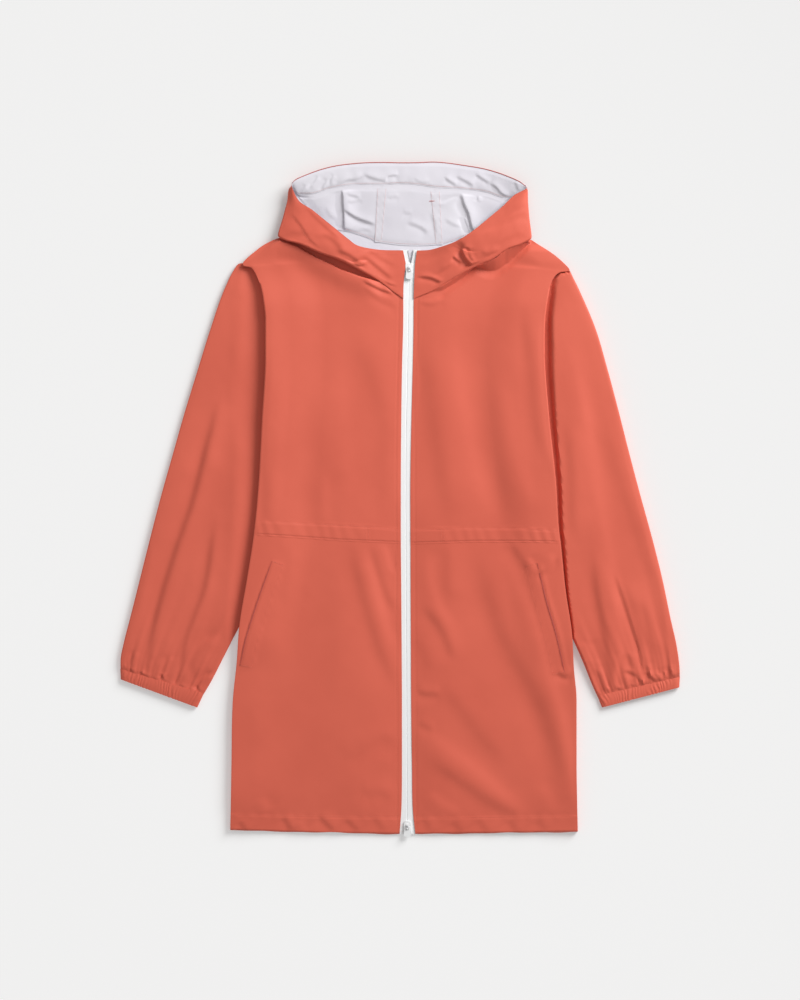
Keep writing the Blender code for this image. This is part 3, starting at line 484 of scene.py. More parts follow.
body["folds"] = [
    # chest
    (-0.9, 12, 39, -159, 248, -171, 150, -178, 60, -182, -42), (0.7, 8, 21, -198, 45, -201, -42),
    (0.9, 16, 45, -132, 180, -129, 75, -126, -42), (-0.8, 15, 39, -93, 248, -82, 120, -72, 0),
    (1.6, 16, 48, -66, 248, -42, 180, -24, 105, -27, -42), (-0.6, 9, 24, -111, 45, -108, -42),
    (1.6, 15, 39, 36, 248, 45, 150, 58, 60, 74, -42), (-1.2, 15, 42, 81, 255, 94, 150, 117, 45, 141, -38),
    (1.5, 14, 39, 126, 270, 136, 135, 154, 15, 166, -42), (-1.3, 14, 36, 156, 195, 168, 105, 186, 30, 206, -8),
    (1.1, 9, 27, 184, 300, 196, 195, 208, 90, 222, 45), (-0.5, 24, 51, -150, 322, -105, 270, -75, 225),
    (0.5, 21, 45, 180, 338, 135, 300, 105, 255),
    # below the waist
    (2.2, 14, 39, 111, -68, 129, -128, 147, -188, 170, -236, 200, -285, 222, -338, 236, -382, 249, -458),
    (-1.4, 10, 30, 150, -68, 180, -128, 206, -195, 224, -258, 240, -308, 250, -368, 261, -450),
    (0.9, 6, 15, 165, -64, 180, -87, 195, -108), (0.9, 9, 24, 69, -64, 69, -112, 72, -153),
    (-0.7, 8, 18, 45, -75, 51, -135, 66, -168, 84, -192), (1.3, 7, 18, 33, -158, 54, -183, 72, -218, 78, -240),
    (1.0, 4, 12, 24, -286, 42, -291, 60, -291), (1.2, 12, 33, 60, -276, 93, -318, 126, -360, 153, -396),
    (-1.3, 13, 32, 24, -324, 54, -357, 93, -386, 132, -417, 165, -450, 192, -471),
    (1.4, 9, 27, 42, -387, 84, -417, 126, -446, 162, -466, 192, -480), (0.7, 4, 12, 27, -333, 48, -345),
    (-0.8, 8, 18, 42, -435, 66, -453, 93, -468), (0.7, 6, 14, 78, -480, 93, -498),
    (0.7, 6, 14, 117, -477, 132, -498), (0.8, 6, 14, 162, -477, 177, -498), (0.6, 6, 14, 204, -477, 219, -495),
    (0.7, 6, 14, 38, -477, 45, -498), (-0.7, 10, 24, 210, -420, 234, -468), (0.5, 9, 21, 27, -210, 45, -258),
    (-0.7, 18, 39, 180, -300, 201, -360, 210, -435),
    (1.3, 9, 27, -74, -64, -62, -117, -48, -168, -33, -218, -18, -255, -3, -285),
    (-0.9, 9, 21, -51, -64, -36, -128, -20, -188, -6, -232), (0.9, 6, 16, -44, -64, -32, -108, -20, -142, -8, -171),
    (-0.7, 6, 14, -24, -64, -10, -112), (0.6, 18, 45, -105, -90, -104, -210, -99, -330),
    (0.5, 8, 18, -165, -68, -171, -120, -177, -165), (-0.9, 9, 24, -4, -362, -24, -358, -51, -372, -81, -393),
    (-0.9, 14, 30, -4, -390, -36, -412, -75, -450), (-0.8, 8, 18, -12, -450, -33, -438, -57, -441),
    (-0.9, 9, 18, -207, -444, -195, -465), (1.0, 4, 12, -174, -474, -162, -496),
    (1.0, 4, 14, -123, -471, -99, -496), (0.7, 4, 12, -81, -477, -63, -496), (0.9, 4, 12, -240, -480, -230, -496),
    (-0.6, 6, 12, -150, -477, -141, -496), (0.6, 6, 14, -39, -474, -24, -496),
    (0.5, 12, 30, -230, -285, -222, -360, -225, -450), (-0.6, 6, 14, -240, -240, -225, -210, -216, -180),
    (1.1, 4, 12, 201, -112, 219, -105, 234, -84), (1.6, 3, 8, 234, -258, 249, -264, 260, -252),
    (-0.8, 4, 12, 192, -84, 204, -108),
    # under the hood and at the shoulders
    (1.3, 1.4, 7, -56, 328, -34, 317, -10, 308), (0.4, 3, 10, -57, 318, -34, 305, -6, 294),
    (0.4, 3, 9, -48, 310, -26, 296, -4, 288), (0.6, 2.5, 8, 30, 304, 50, 306, 72, 312),
    (0.5, 3, 9, 28, 296, 48, 292, 66, 300), (0.6, 4, 9, -231, 351, -222, 340, -216, 328),
]
body["casings"] = [
    # top edge and bottom edge of the waist casing, right and left
    ([(-216, -30), (-196, -31), (-41, -39), (4, -43)],
     [(-220, -52), (-208, -53), (-174, -55), (-89, -61), (4, -65)]),
    ([(12, -43), (96, -41), (175, -41), (240, -45)], [(12, -66), (111, -63), (181, -63), (240, -64)]),
]
body["pockets"] = [
    # the opening from its top to its bottom, and the side that the welt lies on
    ([(-191, -91), (-207, -135), (-222, -180), (-231, -210), (-239, -247)], 1.0),
    ([(205, -94), (209, -110), (219, -152), (231, -192), (246, -257)], -1.0),
]

fineRows = rowsBetween(body["rows"], np.linspace(0, 1, 600))
hemLine = np.array([(-254, -494.5), (-130, -498.5), (0, -500.5), (23, -500.5), (145, -499), (266, -497)])
zipY, zipX = columns(body["zipLine"])


def sideDistance(x, y):
    right = np.interp(y, fineRows[:, 1], fineRows[:, 0])
    left = np.interp(y, fineRows[:, 7], fineRows[:, 6])
    return np.minimum(x - right, left - x)


def backHeight(side, y):
    across = 1 - smoothStep(40, 90, side)
    lengthwise = smoothStep(-262, -202, y) * (1 - smoothStep(352, 387, y))
    return 0.6 + body["sideLift"] * across * lengthwise


def casingShape(x, y):
    raised = np.zeros_like(x)
    fromZip = np.abs(x - 7)
    for top, bottom in body["casings"]:
        toTop = readAt(top, x) - y
        toBottom = y - readAt(bottom, x)
        reach = (x > min(top[0][0], bottom[0][0]) - 1) & (x < max(top[-1][0], bottom[-1][0]) + 1)
        inside = smoothStep(-0.8, 0.8, toTop) * smoothStep(-0.8, 0.8, toBottom)
        stitched = bell(toTop - 1.8, 1.2) + bell(toBottom - 1.8, 1.2)
        pucker = 0.32 * np.sin(x / 3.1 + 1.3 * np.sin(x / 17.0) + y / 9.0)
        pucker = pucker * (0.45 + 0.55 * smoothStep(170, 210, np.abs(x)))
        pucker = pucker * smoothStep(44, 56, fromZip)
        shape = inside * (body["casingRaise"] + pucker) - 0.6 * stitched * inside
        raised += np.where(reach, shape, 0.0)
    return raised


def pocketShape(x, y):
    # the right welt stands with a slit beside it, the left one lies under a raised outer side
    total = np.zeros_like(x)
    for path, weltSide in body["pockets"]:
        signed, share = nearPath(x, y, path)
        toward = signed * weltSide
        along = smoothStep(-0.012, 0.006, share) * smoothStep(-0.012, 0.006, 1 - share)
        opening = np.sin(math.pi * np.clip(share, 0, 1)) ** 0.4
        edgeGroove = bell(toward - body["weltWidth"], 1.0) * 0.35
        low, high = (-1.6, 1.6) if weltSide > 0 else (-1.0, 7.0)
        welt = smoothStep(low, high, toward) * (1 - smoothStep(19.0, 20.6, toward))
        if weltSide > 0:
            mouthLift = 0.8 * bell(toward - 1.5, 6.0) * opening * smoothStep(-1.6, 1.6, toward)
            total += along * (0.45 * welt - edgeGroove + mouthLift - 0.7 * opening * bell(toward + 1.2, 2.4))
        else:
            outerLift = 1.4 * bell(toward + 1.6, 5.0) * opening * (1 - smoothStep(-2.8, 0.2, toward))
            total += along * (0.45 * welt - edgeGroove + outerLift)
    return total


def frontHeight(x, y, side):
    # height of a front above the floor, side being the way to its side edge
    toZip = np.abs(x - curveThrough(zipY, zipX, np.clip(y, -500, 374)))
    belowLip = readAt(body["lip"], x) - y
    slot = readAt(body["slots"], x)
    open_ = smoothStep(slot, slot + 2.5 + 12.0 * smoothStep(26, 34, x), belowLip)
    fromHem = y - readAt(hemLine, x)

    # the air under the front, most of it at the sides, none at the zip and the hood's fold
    puff = body["middlePuff"] + (body["sidePuff"] - body["middlePuff"]) * bell(side, 58.0)
    puff = puff + 3.2 * bell(side, 26.0) * smoothStep(20, 190, y) * (x < 0)
    puff = puff * (1 - 0.5 * smoothStep(285, 345, y))
    puff = puff * (0.62 + 0.38 * smoothStep(0, 60, fromHem)) * smoothStep(4, 70, toZip) * open_
    rightOfNeck = 1 - smoothStep(-50, -25, x)
    puff = puff + 5.0 * bell(belowLip - slot - 6, 20.0) * rightOfNeck * open_ * smoothStep(6, 24, side)

    # folds and what is sewn on
    loose = smoothStep(0, 12, side) * smoothStep(1, 15, toZip) * (0.1 + 0.9 * open_)
    folds = bandShape(x, y, body["folds"]) * body["foldStrength"]
    folds = folds + 0.12 * ripple(x, y, 70.0, 0.7) + 0.06 * ripple(x, y, 26.0, 2.1)
    folds = folds + 0.5 * np.sin(x / 23.0 + 0.8) * (1 - smoothStep(0, 40, fromHem))
    raised = (folds + casingShape(x, y) + pocketShape(x, y)) * loose
    hemTurn = 0.5 * (1 - smoothStep(-0.7, 0.7, fromHem - body["hemWidth"]))
    hemPucker = 0.16 * np.sin(x / 3.4 + 1.7 * np.sin(x / 29.0)) * bell(fromHem - 24.0, 6.0)
    hemGroove = -0.35 * bell(fromHem - 23.6, 1.1)
    zipGroove = -0.3 * bell(toZip - 7.0 - body["zipStitch"], 1.2)
    raised = raised + hemTurn + (hemPucker + hemGroove) * smoothStep(4, 10, side) + zipGroove
    under = backHeight(side, y) + 1.0
    overTape = 1.3 * (1 - smoothStep(24, 69, toZip))
    height = under + 0.25 + overTape + np.maximum(puff + raised, -0.1)

    # the climb to the hood's fold, and the cloth tucked in behind it
    top = readAt(body["climb"], x)
    climb = np.clip((slot - belowLip) / np.maximum(slot - 1.6, 1), 0, 1)
    tuck = smoothStep(-0.2, 1.6, belowLip)
    behind = np.minimum(top - under, 4.5) * (1 - tuck) * (1 - smoothStep(0, 12, -belowLip))
    top = (top - under) * climb * tuck + behind
    height = np.maximum(height, under + top * smoothStep(28, 34, x) * (1 - smoothStep(190, 196, x)))
    return under + (height - under) * roundOver(np.maximum(fromHem, 0), body["hemRound"])


def spreadPoints(share, weight):
    # moves evenly spread shares closer together where the weight, a function of the share, is high
    even = np.linspace(0, 1, 1500)
    done = np.cumsum(weight(even))
    return np.interp(share, (done - done[0]) / (done[-1] - done[0]), even)


def denseShares(v):
    # rows of points stand closer where stitching or creases need it
    def weight(shares):
        y = rowsBetween(body["rows"], shares)[:, 1]
        return 1 + sum(more * bell(y - middle, reach) for middle, reach, more in body["denseRows"])
    return spreadPoints(v, weight)


def makeFront(name, inner, outer, *nodes):
    # inner and outer are the columns of the rows that hold its zip edge and its side edge
    piece, u, v = addGrid(name, *body["frontPoints"])
    rows = rowsBetween(body["rows"], denseShares(v))
    share = spreadPoints(u, lambda s: 1 + 4.0 * bell(1 - s, 0.028) + 0.9 * bell(s, 0.06))
    inner, outer = rows[:, inner:inner + 2], rows[:, outer:outer + 2]
    width = np.hypot(*(outer - inner).T)
    outward = (outer - inner) / width[:, None]
    side = (1 - share) * width
    # the side's cloth turns under, so that its fold stands where the outline is
    sideTurn, radius, most = body["sideTurn"], body["sideRadius"], body["turnUnder"]
    turn = (1 - np.clip(side / sideTurn, 0, 1)) * most
    inset = side - radius * (1 - smoothStep(sideTurn, 40, side))
    inset = np.where(side < sideTurn, radius * (1 - np.sin(turn)), inset)
    x, y = (outer - outward * inset[:, None]).T
    y = y + (1 - smoothStep(0, 0.03, v)) * (0.5 * np.sin(x / 21.0) + 0.4 * np.sin(x / 8.3 + 1.0))
    top = frontHeight(x, y, np.maximum(side, sideTurn))
    under = backHeight(side, y) + 0.9
    movePoints(piece, x, y, top - np.maximum(top - under, 0) * (1 - np.cos(turn)) / (1 - math.cos(most)))
    faceUp(piece)
    finishSheet(piece, coralCloth, body["wall"], inner=paleLining)
    return belong(piece, "shell_cloth", *nodes)


frontRight = makeFront("frontRight", 2, 0, "front_right", "pocket_welt_right", "waist_casing_right")
frontLeft = makeFront("frontLeft", 4, 6, "front_left", "pocket_welt_left", "waist_casing_left")


def makeBack():
    piece, u, v = addGrid("backPanel", *body["backPoints"])
    share = spreadPoints(u, lambda s: 1 + 2.0 * bell(np.minimum(s, 1 - s), 0.03))
    rows = rowsBetween(body["rows"], v)
    x = rows[:, 0] * (1 - share) + rows[:, 6] * share
    y = rows[:, 1] * (1 - share) + rows[:, 7] * share
    top = rowsBetween(body["rows"], np.ones_like(v))
    topX = top[:, 0] * (1 - share) + top[:, 6] * share
    topY = top[:, 1] * (1 - share) + top[:, 7] * share
    rise = np.clip((y - 300) / 92.0, 0, 1) ** 1.5
    y = y + (curveThrough(*columns(body["backNeck"]), topX) - topY) * rise
    side = np.minimum(share, 1 - share) * (rows[:, 6] - rows[:, 0])
    movePoints(piece, x, y, backHeight(side, y))
    faceUp(piece, -1.0)
    finishSheet(piece, coralCloth, body["wall"], inner=paleLining)
    return belong(piece, "shell_cloth", "back_panel")


backPanel = makeBack()
print("body laid out")


sleeve = {
    # outer fold, inner fold and bow of the line between them, from the armhole to the cuff
    "right": [
        (-224, 355.5, -190, 180, 20), (-241.5, 354, -188.5, 168, 25), (-250.5, 342, -188, 155, 25.5),
        (-261, 320.5, -187, 138, 24), (-284, 256, -184, 95, 12), (-303, 195, -183, 55, 5),
        (-322, 133, -184, 10, 2), (-340.5, 68, -188, -40, 0), (-358.5, 4, -196, -88, 0),
        (-375, -60, -208, -130, 0), (-390, -120, -226, -166, 0), (-403, -172, -244, -195, 0),
        (-413.5, -213, -265, -236, 0), (-418.5, -242, -285, -275, 0), (-418.5, -254.5, -294.5, -291, 0),
    ],
    "left": [
        (236, 351, 203, 180, 20), (250.5, 348, 201.5, 166, 25), (260.5, 330.5, 202, 150, 25),
        (272, 306, 203, 135, 24), (292, 258, 201, 95, 12), (310, 197, 201, 55, 5), (326, 137, 202, 10, 2),
        (343.5, 68, 207, -40, 0), (360.5, 4, 215, -90, 0),
        (377, -56, 227, -134, 0), (392, -116, 242, -172, 0), (405, -178, 260, -210, 0),
        (414, -218, 275, -244, 0), (418.5, -252, 290, -281, 0), (419, -266, 296.5, -295, 0),
    ],
    "wall": 0.8,
    "edgeHeight": 3.4,          # middle of the fold above the floor
    "swell": 7.0,               # height that the upper side rises above its folds
    "round": 14.0,
    "rightLean": (0.78, 0.12),  # how high the outer and the inner side stand
    "leftLean": (1.25, 0.78),
    "rightRise": [(-290, 0.8), (-60, 0.75), (60, 0.55), (345, 0.4)],  # y and how much of the swell is there
    "leftRise": [(-290, 0.7), (-150, 1.0), (345, 1.0)],
    "seamHeight": 2.9,          # of the upper side at the cuff, above its folds
    # where the sleeve goes down beside the body: y, start and reach
    "rightDip": [(-250, 0, 16), (-60, 1, 34), (60, 2, 40), (160, 4, 48), (300, 6, 44), (345, 2, 16)],
    "leftDip": [(-230, 0, 2.5), (-180, 0.5, 3), (-60, 3, 4), (60, 5, 4.5), (230, 8, 5), (310, 5, 5), (345, 1, 3)],
    "length": 640.0,
    "points": (116, 200),
    "topShare": 0.68,           # share of the points around the tube that lie on its upper side
    # small folds that run up from the cuff: how many, phase, size and how far up
    "gathers": [(7.3, 0.4, 0.9, 70), (11.7, 1.9, 0.8, 48), (17.3, 3.1, 0.7, 32), (24.1, 0.9, 0.6, 20),
                (31.0, 2.2, 0.4, 12)],
    "gatherHeight": 1.2,
    "foldStrength": 1.2,
    "rightFolds": [
        (2.1, 4.6, 19, -272, 146, -279, 122, -292, 71, -311, -4, -334, -71, -354, -135, -367, -184, -380, -250),
        (0.8, 8, 24, -273, 150, -284, 92, -296, 40),
        (1.2, 3.6, 16, -276, -30, -284, -80, -291, -127, -307, -172, -321, -214, -327, -250, -334, -290),
        (0.7, 8, 22, -280, -40, -286, -100, -300, -160),
        (1.5, 5, 14, -272, -200, -290, -213, -308, -243, -313, -264),
        (0.9, 2.5, 8, -344, -232, -350, -248, -355, -264), (1.5, 3, 9, -280, -258, -296, -270, -306, -290),
        (1.0, 2.5, 8, -396, -225, -404, -243, -408, -258), (0.7, 4, 9, -363, -236, -371, -252, -375, -270),
        (-0.5, 15, 36, -267, 210, -274, 120, -282, 30), (0.5, 10, 30, -246, 120, -252, 0, -261, -90),
        (-0.6, 14, 30, -360, -60, -375, -135, -390, -195), (-0.6, 9, 21, -279, -90, -288, -165, -297, -210),
        (0.6, 9, 27, -240, 330, -243, 270, -252, 195),
        # pinched cloth at the cuff's seam
        (0.8, 1.3, 4, -414, -246, -410, -257), (0.8, 1.3, 4, -404, -251, -399, -262),
        (1.5, 1.3, 5, -390, -257, -381, -264, -373, -269), (1.4, 1.2, 4, -371, -266, -363, -273),
        (1.3, 1.3, 5, -357, -259, -353, -273), (1.5, 1.3, 5, -339, -280, -331, -290),
        (1.2, 1.3, 4, -331, -277, -321, -283), (1.0, 1.3, 4, -317, -280, -312, -291),
        (0.9, 1.3, 4, -347, -272, -343, -281), (0.8, 1.3, 4, -304, -276, -300, -288),
    ],
    "leftFolds": [
        (1.5, 6, 24, 288, -78, 294, -135, 302, -180, 309, -218, 314, -250, 321, -275, 328, -292),
        (0.95, 1.0, 8, 320, -110, 331, -140, 341, -172, 351, -203, 359, -230, 363, -268),
        (0.9, 6, 18, 334, -120, 346, -155, 357, -192, 366, -232),
        (-0.7, 9, 21, 309, -90, 324, -150, 333, -210, 342, -252), (0.7, 6, 18, 362, -150, 371, -192, 378, -232),
        (0.7, 7, 20, 382, -90, 391, -150, 397, -210),
        (0.8, 11, 28, 300, 127, 326, 34, 352, -41, 371, -97, 390, -172), (1.3, 9, 24, 249, 120, 255, 30, 256, -60),
        (-1.0, 12, 30, 266, 210, 274, 165, 292, 52, 307, -40, 330, -160),
        (-0.6, 12, 30, 258, 255, 270, 180, 285, 105), (1.0, 3, 9, 342, -228, 348, -246, 357, -264),
        (1.0, 2.4, 8, 369, -246, 375, -264, 384, -276), (-0.6, 3, 9, 384, -252, 393, -273),
        (0.7, 3, 9, 402, -246, 408, -270), (1.2, 3, 10, 294, -252, 303, -276, 309, -294),
        (-0.8, 6, 15, 279, -210, 288, -246), (-1.2, 4, 10, 330, -232, 324, -261, 327, -285),
        (1.1, 2.5, 7, 334, -255, 352, -262, 366, -282), (0.9, 1.3, 4, 310, -281, 315, -293),
        (1.2, 1.3, 5, 325, -280, 334, -291), (0.9, 1.3, 4, 346, -275, 352, -285),
        (1.1, 1.2, 4, 361, -268, 364, -281), (1.2, 1.4, 5, 369, -257, 380, -270),
        (1.0, 1.3, 4, 384, -260, 389, -273), (0.7, 1.3, 4, 394, -256, 398, -268),
        (0.8, 1.3, 4, 404, -252, 408, -265),
    ],
}


def gathers(q, toCuff, seed):
    # the finer ones fade first
    total = np.zeros_like(q)
    for count, phase, size, reach in sleeve["gathers"]:
        wave = np.sin(2 * math.pi * count * q + phase + seed + 0.5 * np.sin(toCuff / 19.0 + phase))
        total += size * wave * np.exp(-toCuff / reach)
    return total * sleeve["gatherHeight"] / 2.2


def acrossTube(outer, inner, bow, q):
    # points of a laid tube at share q from its inner fold to its outer one, bowed away from the body
    chord = outer - inner
    length = np.hypot(chord[:, 0], chord[:, 1])
    toward = np.stack([-chord[:, 1], chord[:, 0]], axis=1) / length[:, None]
    toward = toward * np.where(toward[:, 0] * inner[:, 0] > 0, -1.0, 1.0)[:, None]
    x, y = (inner + chord * q[:, None] + toward * (bow * 4 * q * (1 - q))[:, None]).T
    return x, y, (1 - q) * length, q * length


def aroundTube(w, topShare):
    # w runs over the upper side from the inner fold to the outer one, then back beneath
    top = w <= topShare
    q = np.where(top, w / topShare, (1 - w) / (1 - topShare))
    return top, (1 - np.cos(math.pi * q)) / 2 * 0.6 + q * 0.4


def makeSleeve(name, side, node, seed):
    piece, w, s = addGrid(name, *sleeve["points"])
    top, q = aroundTube(w, sleeve["topShare"])
    s = np.interp(s, [0, 0.6, 1], [0, 0.84, 1])
    rows = rowsBetween(sleeve[side], s)
    x, y, fromOuter, fromInner = acrossTube(rows[:, 0:2], rows[:, 2:4], rows[:, 4], q)
    toCuff = (1 - s) * sleeve["length"]
    outside = -sideDistance(x, np.clip(y, -494, 391))
    dipY, dipStart, dipReach = columns(sleeve[side + "Dip"])
    dipStart, dipReach = np.interp(y, dipY, dipStart), np.interp(y, dipY, dipReach)
    free = smoothStep(dipStart, dipStart + dipReach, outside)
    edge = sleeve["edgeHeight"] * (0.55 + 0.45 * free)

    # the upper side swells between its folds and goes down beside the body
    outerLean, innerLean = sleeve[side + "Lean"]
    swell = sleeve["swell"] * (outerLean * q + innerLean * (1 - q) + 0.22 * roundOver(fromOuter, sleeve["round"]))
    swell = swell * roundOver(fromOuter, 1.3) * roundOver(fromInner, 3.5) * (0.04 + 0.96 * free)
    swell = swell * readAt(sleeve[side + "Rise"], y)
    folds = bandShape(x, y, sleeve[side + "Folds"]) * sleeve["foldStrength"]
    folds = folds + 0.16 * ripple(x, y, 60.0, seed) + 0.08 * ripple(x, y, 24.0, seed + 1)
    folds = folds * smoothStep(1, 11, fromOuter) * smoothStep(0, 10, outside)
    gathered = gathers(q, toCuff, seed) * smoothStep(2, 12, fromOuter) * smoothStep(2, 12, fromInner)
    flatten = 1 - 0.45 * np.exp(-toCuff / 34.0)
    headDrop = 0.35 + 0.65 * smoothStep(0.0, 0.08, s)
    height = edge + (swell * flatten + folds + gathered * (toCuff < 200)) * headDrop

    # the seam at the cuff, and the strip that the body hides
    seamTop = 2.6 + sleeve["seamHeight"] * roundOver(fromOuter, 8.0) * roundOver(fromInner, 8.0)
    height = height + (seamTop + 0.25 * gathered - height) * bell(toCuff, 4.5)
    height = np.maximum(height, 2.0 + 0.5 * roundOver(fromInner, 5.0))
    hidden = smoothStep(-2.0, 3.0, -outside)
    height = height * (1 - hidden) + np.minimum(height, 2.7) * hidden
    low = 0.55 + (edge - 0.55) * (1 - roundOver(fromOuter, 6.0) * roundOver(fromInner, 6.0))
    movePoints(piece, x, y, np.where(top, height, low))
    mergeSeam(piece, 0.05)
    finishSheet(piece, coralCloth, sleeve["wall"])
    belong(piece, "shell_cloth", node)
    return piece


sleeveRight = makeSleeve("sleeveRight", "right", "sleeve_right", 0.6)
sleeveLeft = makeSleeve("sleeveLeft", "left", "sleeve_left", 2.4)
print("sleeves laid out")

cuff = {
    # sleeve's end and open mouth: outer corner, inner corner
    "right": [(-418.6, -253.0, -294.0, -289.0), (-418, -268.5, -304, -310.5)],
    "left": [(419, -264.4, 295.9, -293.0), (418, -280.5, 303, -310.5)],
    "gathers": 25,
    "wave": 0.42,
    "arch": 3.0,
    "edge": 2.6,                # height of its folds
    "wall": 0.9,
    "points": (300, 14),
    "topShare": 0.6,
}


def makeCuff(name, side, node, seed):
    piece, w, s = addGrid(name, *cuff["points"])
    top, q = aroundTube(w, cuff["topShare"])
    first, last = np.array(cuff[side], float)
    ends = first[None, :] * (1 - s[:, None]) + last[None, :] * s[:, None]
    x, y, fromOuter, fromInner = acrossTube(ends[:, 0:2], ends[:, 2:4], np.zeros_like(q), q)
    uneven = q + 0.010 * np.sin(2 * math.pi * (3.7 * q + seed)) + 0.006 * np.sin(2 * math.pi * (8.9 * q + seed))
    wave = np.sin(2 * math.pi * cuff["gathers"] * uneven + 1.6 * np.sin(4.0 * s + seed + 9 * q))
    wave = wave * (0.55 + 0.45 * np.sin(2 * math.pi * (2.6 * q + 0.3 * s) + seed))
    atEnds = roundOver(fromOuter, 8.0) * roundOver(fromInner, 8.0)
    barrel = np.sin(math.pi * np.clip(s, 0.0, 1.0)) ** 0.8
    height = cuff["edge"] + atEnds * (cuff["arch"] + 0.7 * barrel + cuff["wave"] * wave * (0.4 + 0.6 * barrel))
    low = 0.6 + (cuff["edge"] - 0.6) * (1 - atEnds) + 0.25 * atEnds * (1 + wave) * barrel
    # the gathers move the mouth in and out a little
    run = last[0:2] - first[0:2]
    scallop = (0.55 * wave * (s - 0.3) * atEnds) / np.hypot(*run)
    movePoints(piece, x + run[0] * scallop, y + run[1] * scallop, np.where(top, height, low))
    mergeSeam(piece, 0.05)
    finishSheet(piece, coralCloth, cuff["wall"])
    belong(piece, "shell_cloth", node)
    return piece


cuffRight = makeCuff("cuffRight", "right", "cuff_right", 0.3)
cuffLeft = makeCuff("cuffLeft", "left", "cuff_left", 1.1)
print("cuffs gathered")


hood = {
    # neck seam x y z, fold x y, height under and over the fold, rim x y z
    "right": [
        (-32.5, 386.2, 1.25, -27, 468.7, 10.6, 10.8, -24, 504, 14.2),
        (-57, 396, 1.25, -64.5, 468.7, 10.4, 10.6, -66, 502.5, 14.6),
        (-81, 402.7, 1.25, -105, 462.7, 9.9, 10.2, -108, 496, 15.8),
        (-99, 405, 1.3, -134, 454.5, 9.2, 9.8, -141, 484.5, 17.6),
        (-111, 405.7, 1.7, -150, 455, 7.6, 10.2, -156, 477.5, 18.5),
        (-118.5, 405.7, 2.0, -163, 466.5, 8, 12.5, -161.5, 471.5, 18),
        (-124.5, 406, 2.6, -168.7, 445.5, 7, 13.5, -152, 448, 17),
        (-128.2, 406.5, 3.2, -175.5, 420, 7, 14, -131, 433, 17),
        (-131.5, 405.7, 3.7, -182.3, 395.3, 8, 15.5, -115, 420, 17.5),
        (-129.7, 402.7, 3.8, -174, 389.3, 8.5, 16, -102, 409.5, 17.5),
        (-120, 393, 3.8, -150, 382.5, 10, 18.6, -91, 400.5, 18.2),
        (-100.5, 378, 3.9, -123, 370.5, 10.5, 18.8, -77, 389.3, 17.8),
        (-75, 364.5, 4.1, -90, 358.5, 10, 17.6, -63, 379.8, 16),
        (-49.5, 351.7, 4.6, -60, 343.5, 8.4, 13.2, -42, 375.4, 11.6),
        (-22.5, 333.7, 3.9, -28.5, 326.3, 5.2, 6.6, -18, 373.8, 6.6),
        (2, 308, 3.7, 1, 301.5, 3.8, 4.6, 4.5, 373.8, 4.8),
    ],
    "left": [
        (58.5, 382.5, 1.25, 52.5, 464.2, 10.6, 10.8, 49.5, 504.6, 14.2),
        (82.5, 389.2, 1.25, 93, 462, 10.4, 10.6, 96, 499.5, 14.6),
        (103.5, 396.7, 1.25, 130.5, 456.7, 9.9, 10.2, 133.5, 492.3, 15.8),
        (120, 401.2, 1.3, 157, 449, 9.2, 9.8, 160.5, 483, 17.6),
        (132, 404.2, 1.7, 175.5, 450, 7.6, 10.2, 178.5, 474.7, 18.5),
        (139.5, 405.2, 2.0, 190.5, 462.7, 8, 12.5, 189, 466.8, 18),
        (146.2, 406, 2.6, 191.2, 445.5, 7, 13.5, 171, 455.2, 17),
        (150.7, 406.5, 3.2, 193.2, 421.5, 7, 14, 154.5, 439.5, 17),
        (153.7, 405.7, 3.7, 196.5, 392.3, 8, 14.5, 137.5, 425.2, 17),
        (152.2, 400.5, 3.8, 183, 383.3, 10, 16, 125, 414.7, 17),
        (141, 387.7, 3.8, 160.5, 374.3, 10.5, 17, 111, 403.5, 17),
        (122.2, 373.5, 3.9, 136.5, 358.5, 10.5, 16.5, 96, 393.2, 16),
        (100.5, 362.2, 4.1, 112.5, 348.7, 9.2, 13, 79, 384.6, 13), (78, 348, 4.6, 87, 336, 8, 10.4, 61, 378.6, 9.5),
        (51, 328.5, 3.9, 54, 316.5, 5.0, 6.2, 43, 374.2, 6.4),
        (26.5, 309, 3.7, 27.5, 301.5, 3.8, 4.6, 25.5, 373.5, 4.8),
    ],
    "centre": [
        (-32.2, 386.2, 1.25, -26.7, 468.7, 10.6, 10.8, -23.7, 504, 14.2),
        (-3, 382.2, 1.25, 0, 469.8, 10.6, 10.8, 0, 503.5, 14.2),
        (27, 381, 1.25, 27, 468, 10.6, 10.8, 25.5, 503.7, 14.2),
        (58.2, 382.5, 1.25, 52.2, 464.2, 10.6, 10.8, 49.2, 504.6, 14.2),
    ],
    "wall": 0.6,
    "underShare": 0.40,         # share of the points from the neck seam to the fold, then round it
    "foldShare": 0.10,
    "foldRadius": 2.8,
    "flapBulge": 1.6,
    "seams": (-32.5, 58.5),     # where the two taped seams meet the neck seam
    "linePoints": 120,
}
hood["zipEdges"] = {
    # where the flap's edge beside the zip runs: y, x, and the plain line's x there
    "right": [(301, 5.0, 1.0), (322, 5.4, 2.0), (338, 6.8, 2.8), (352, 8.6, 3.4), (364, 6.6, 4.0), (375, 4.2, 4.5)],
    "left": [(301, 20.4, 27.5), (322, 21.0, 26.9), (338, 21.8, 26.5), (352, 22.4, 26.1), (364, 24.0, 25.8),
             (375, 25.6, 25.5)],
}
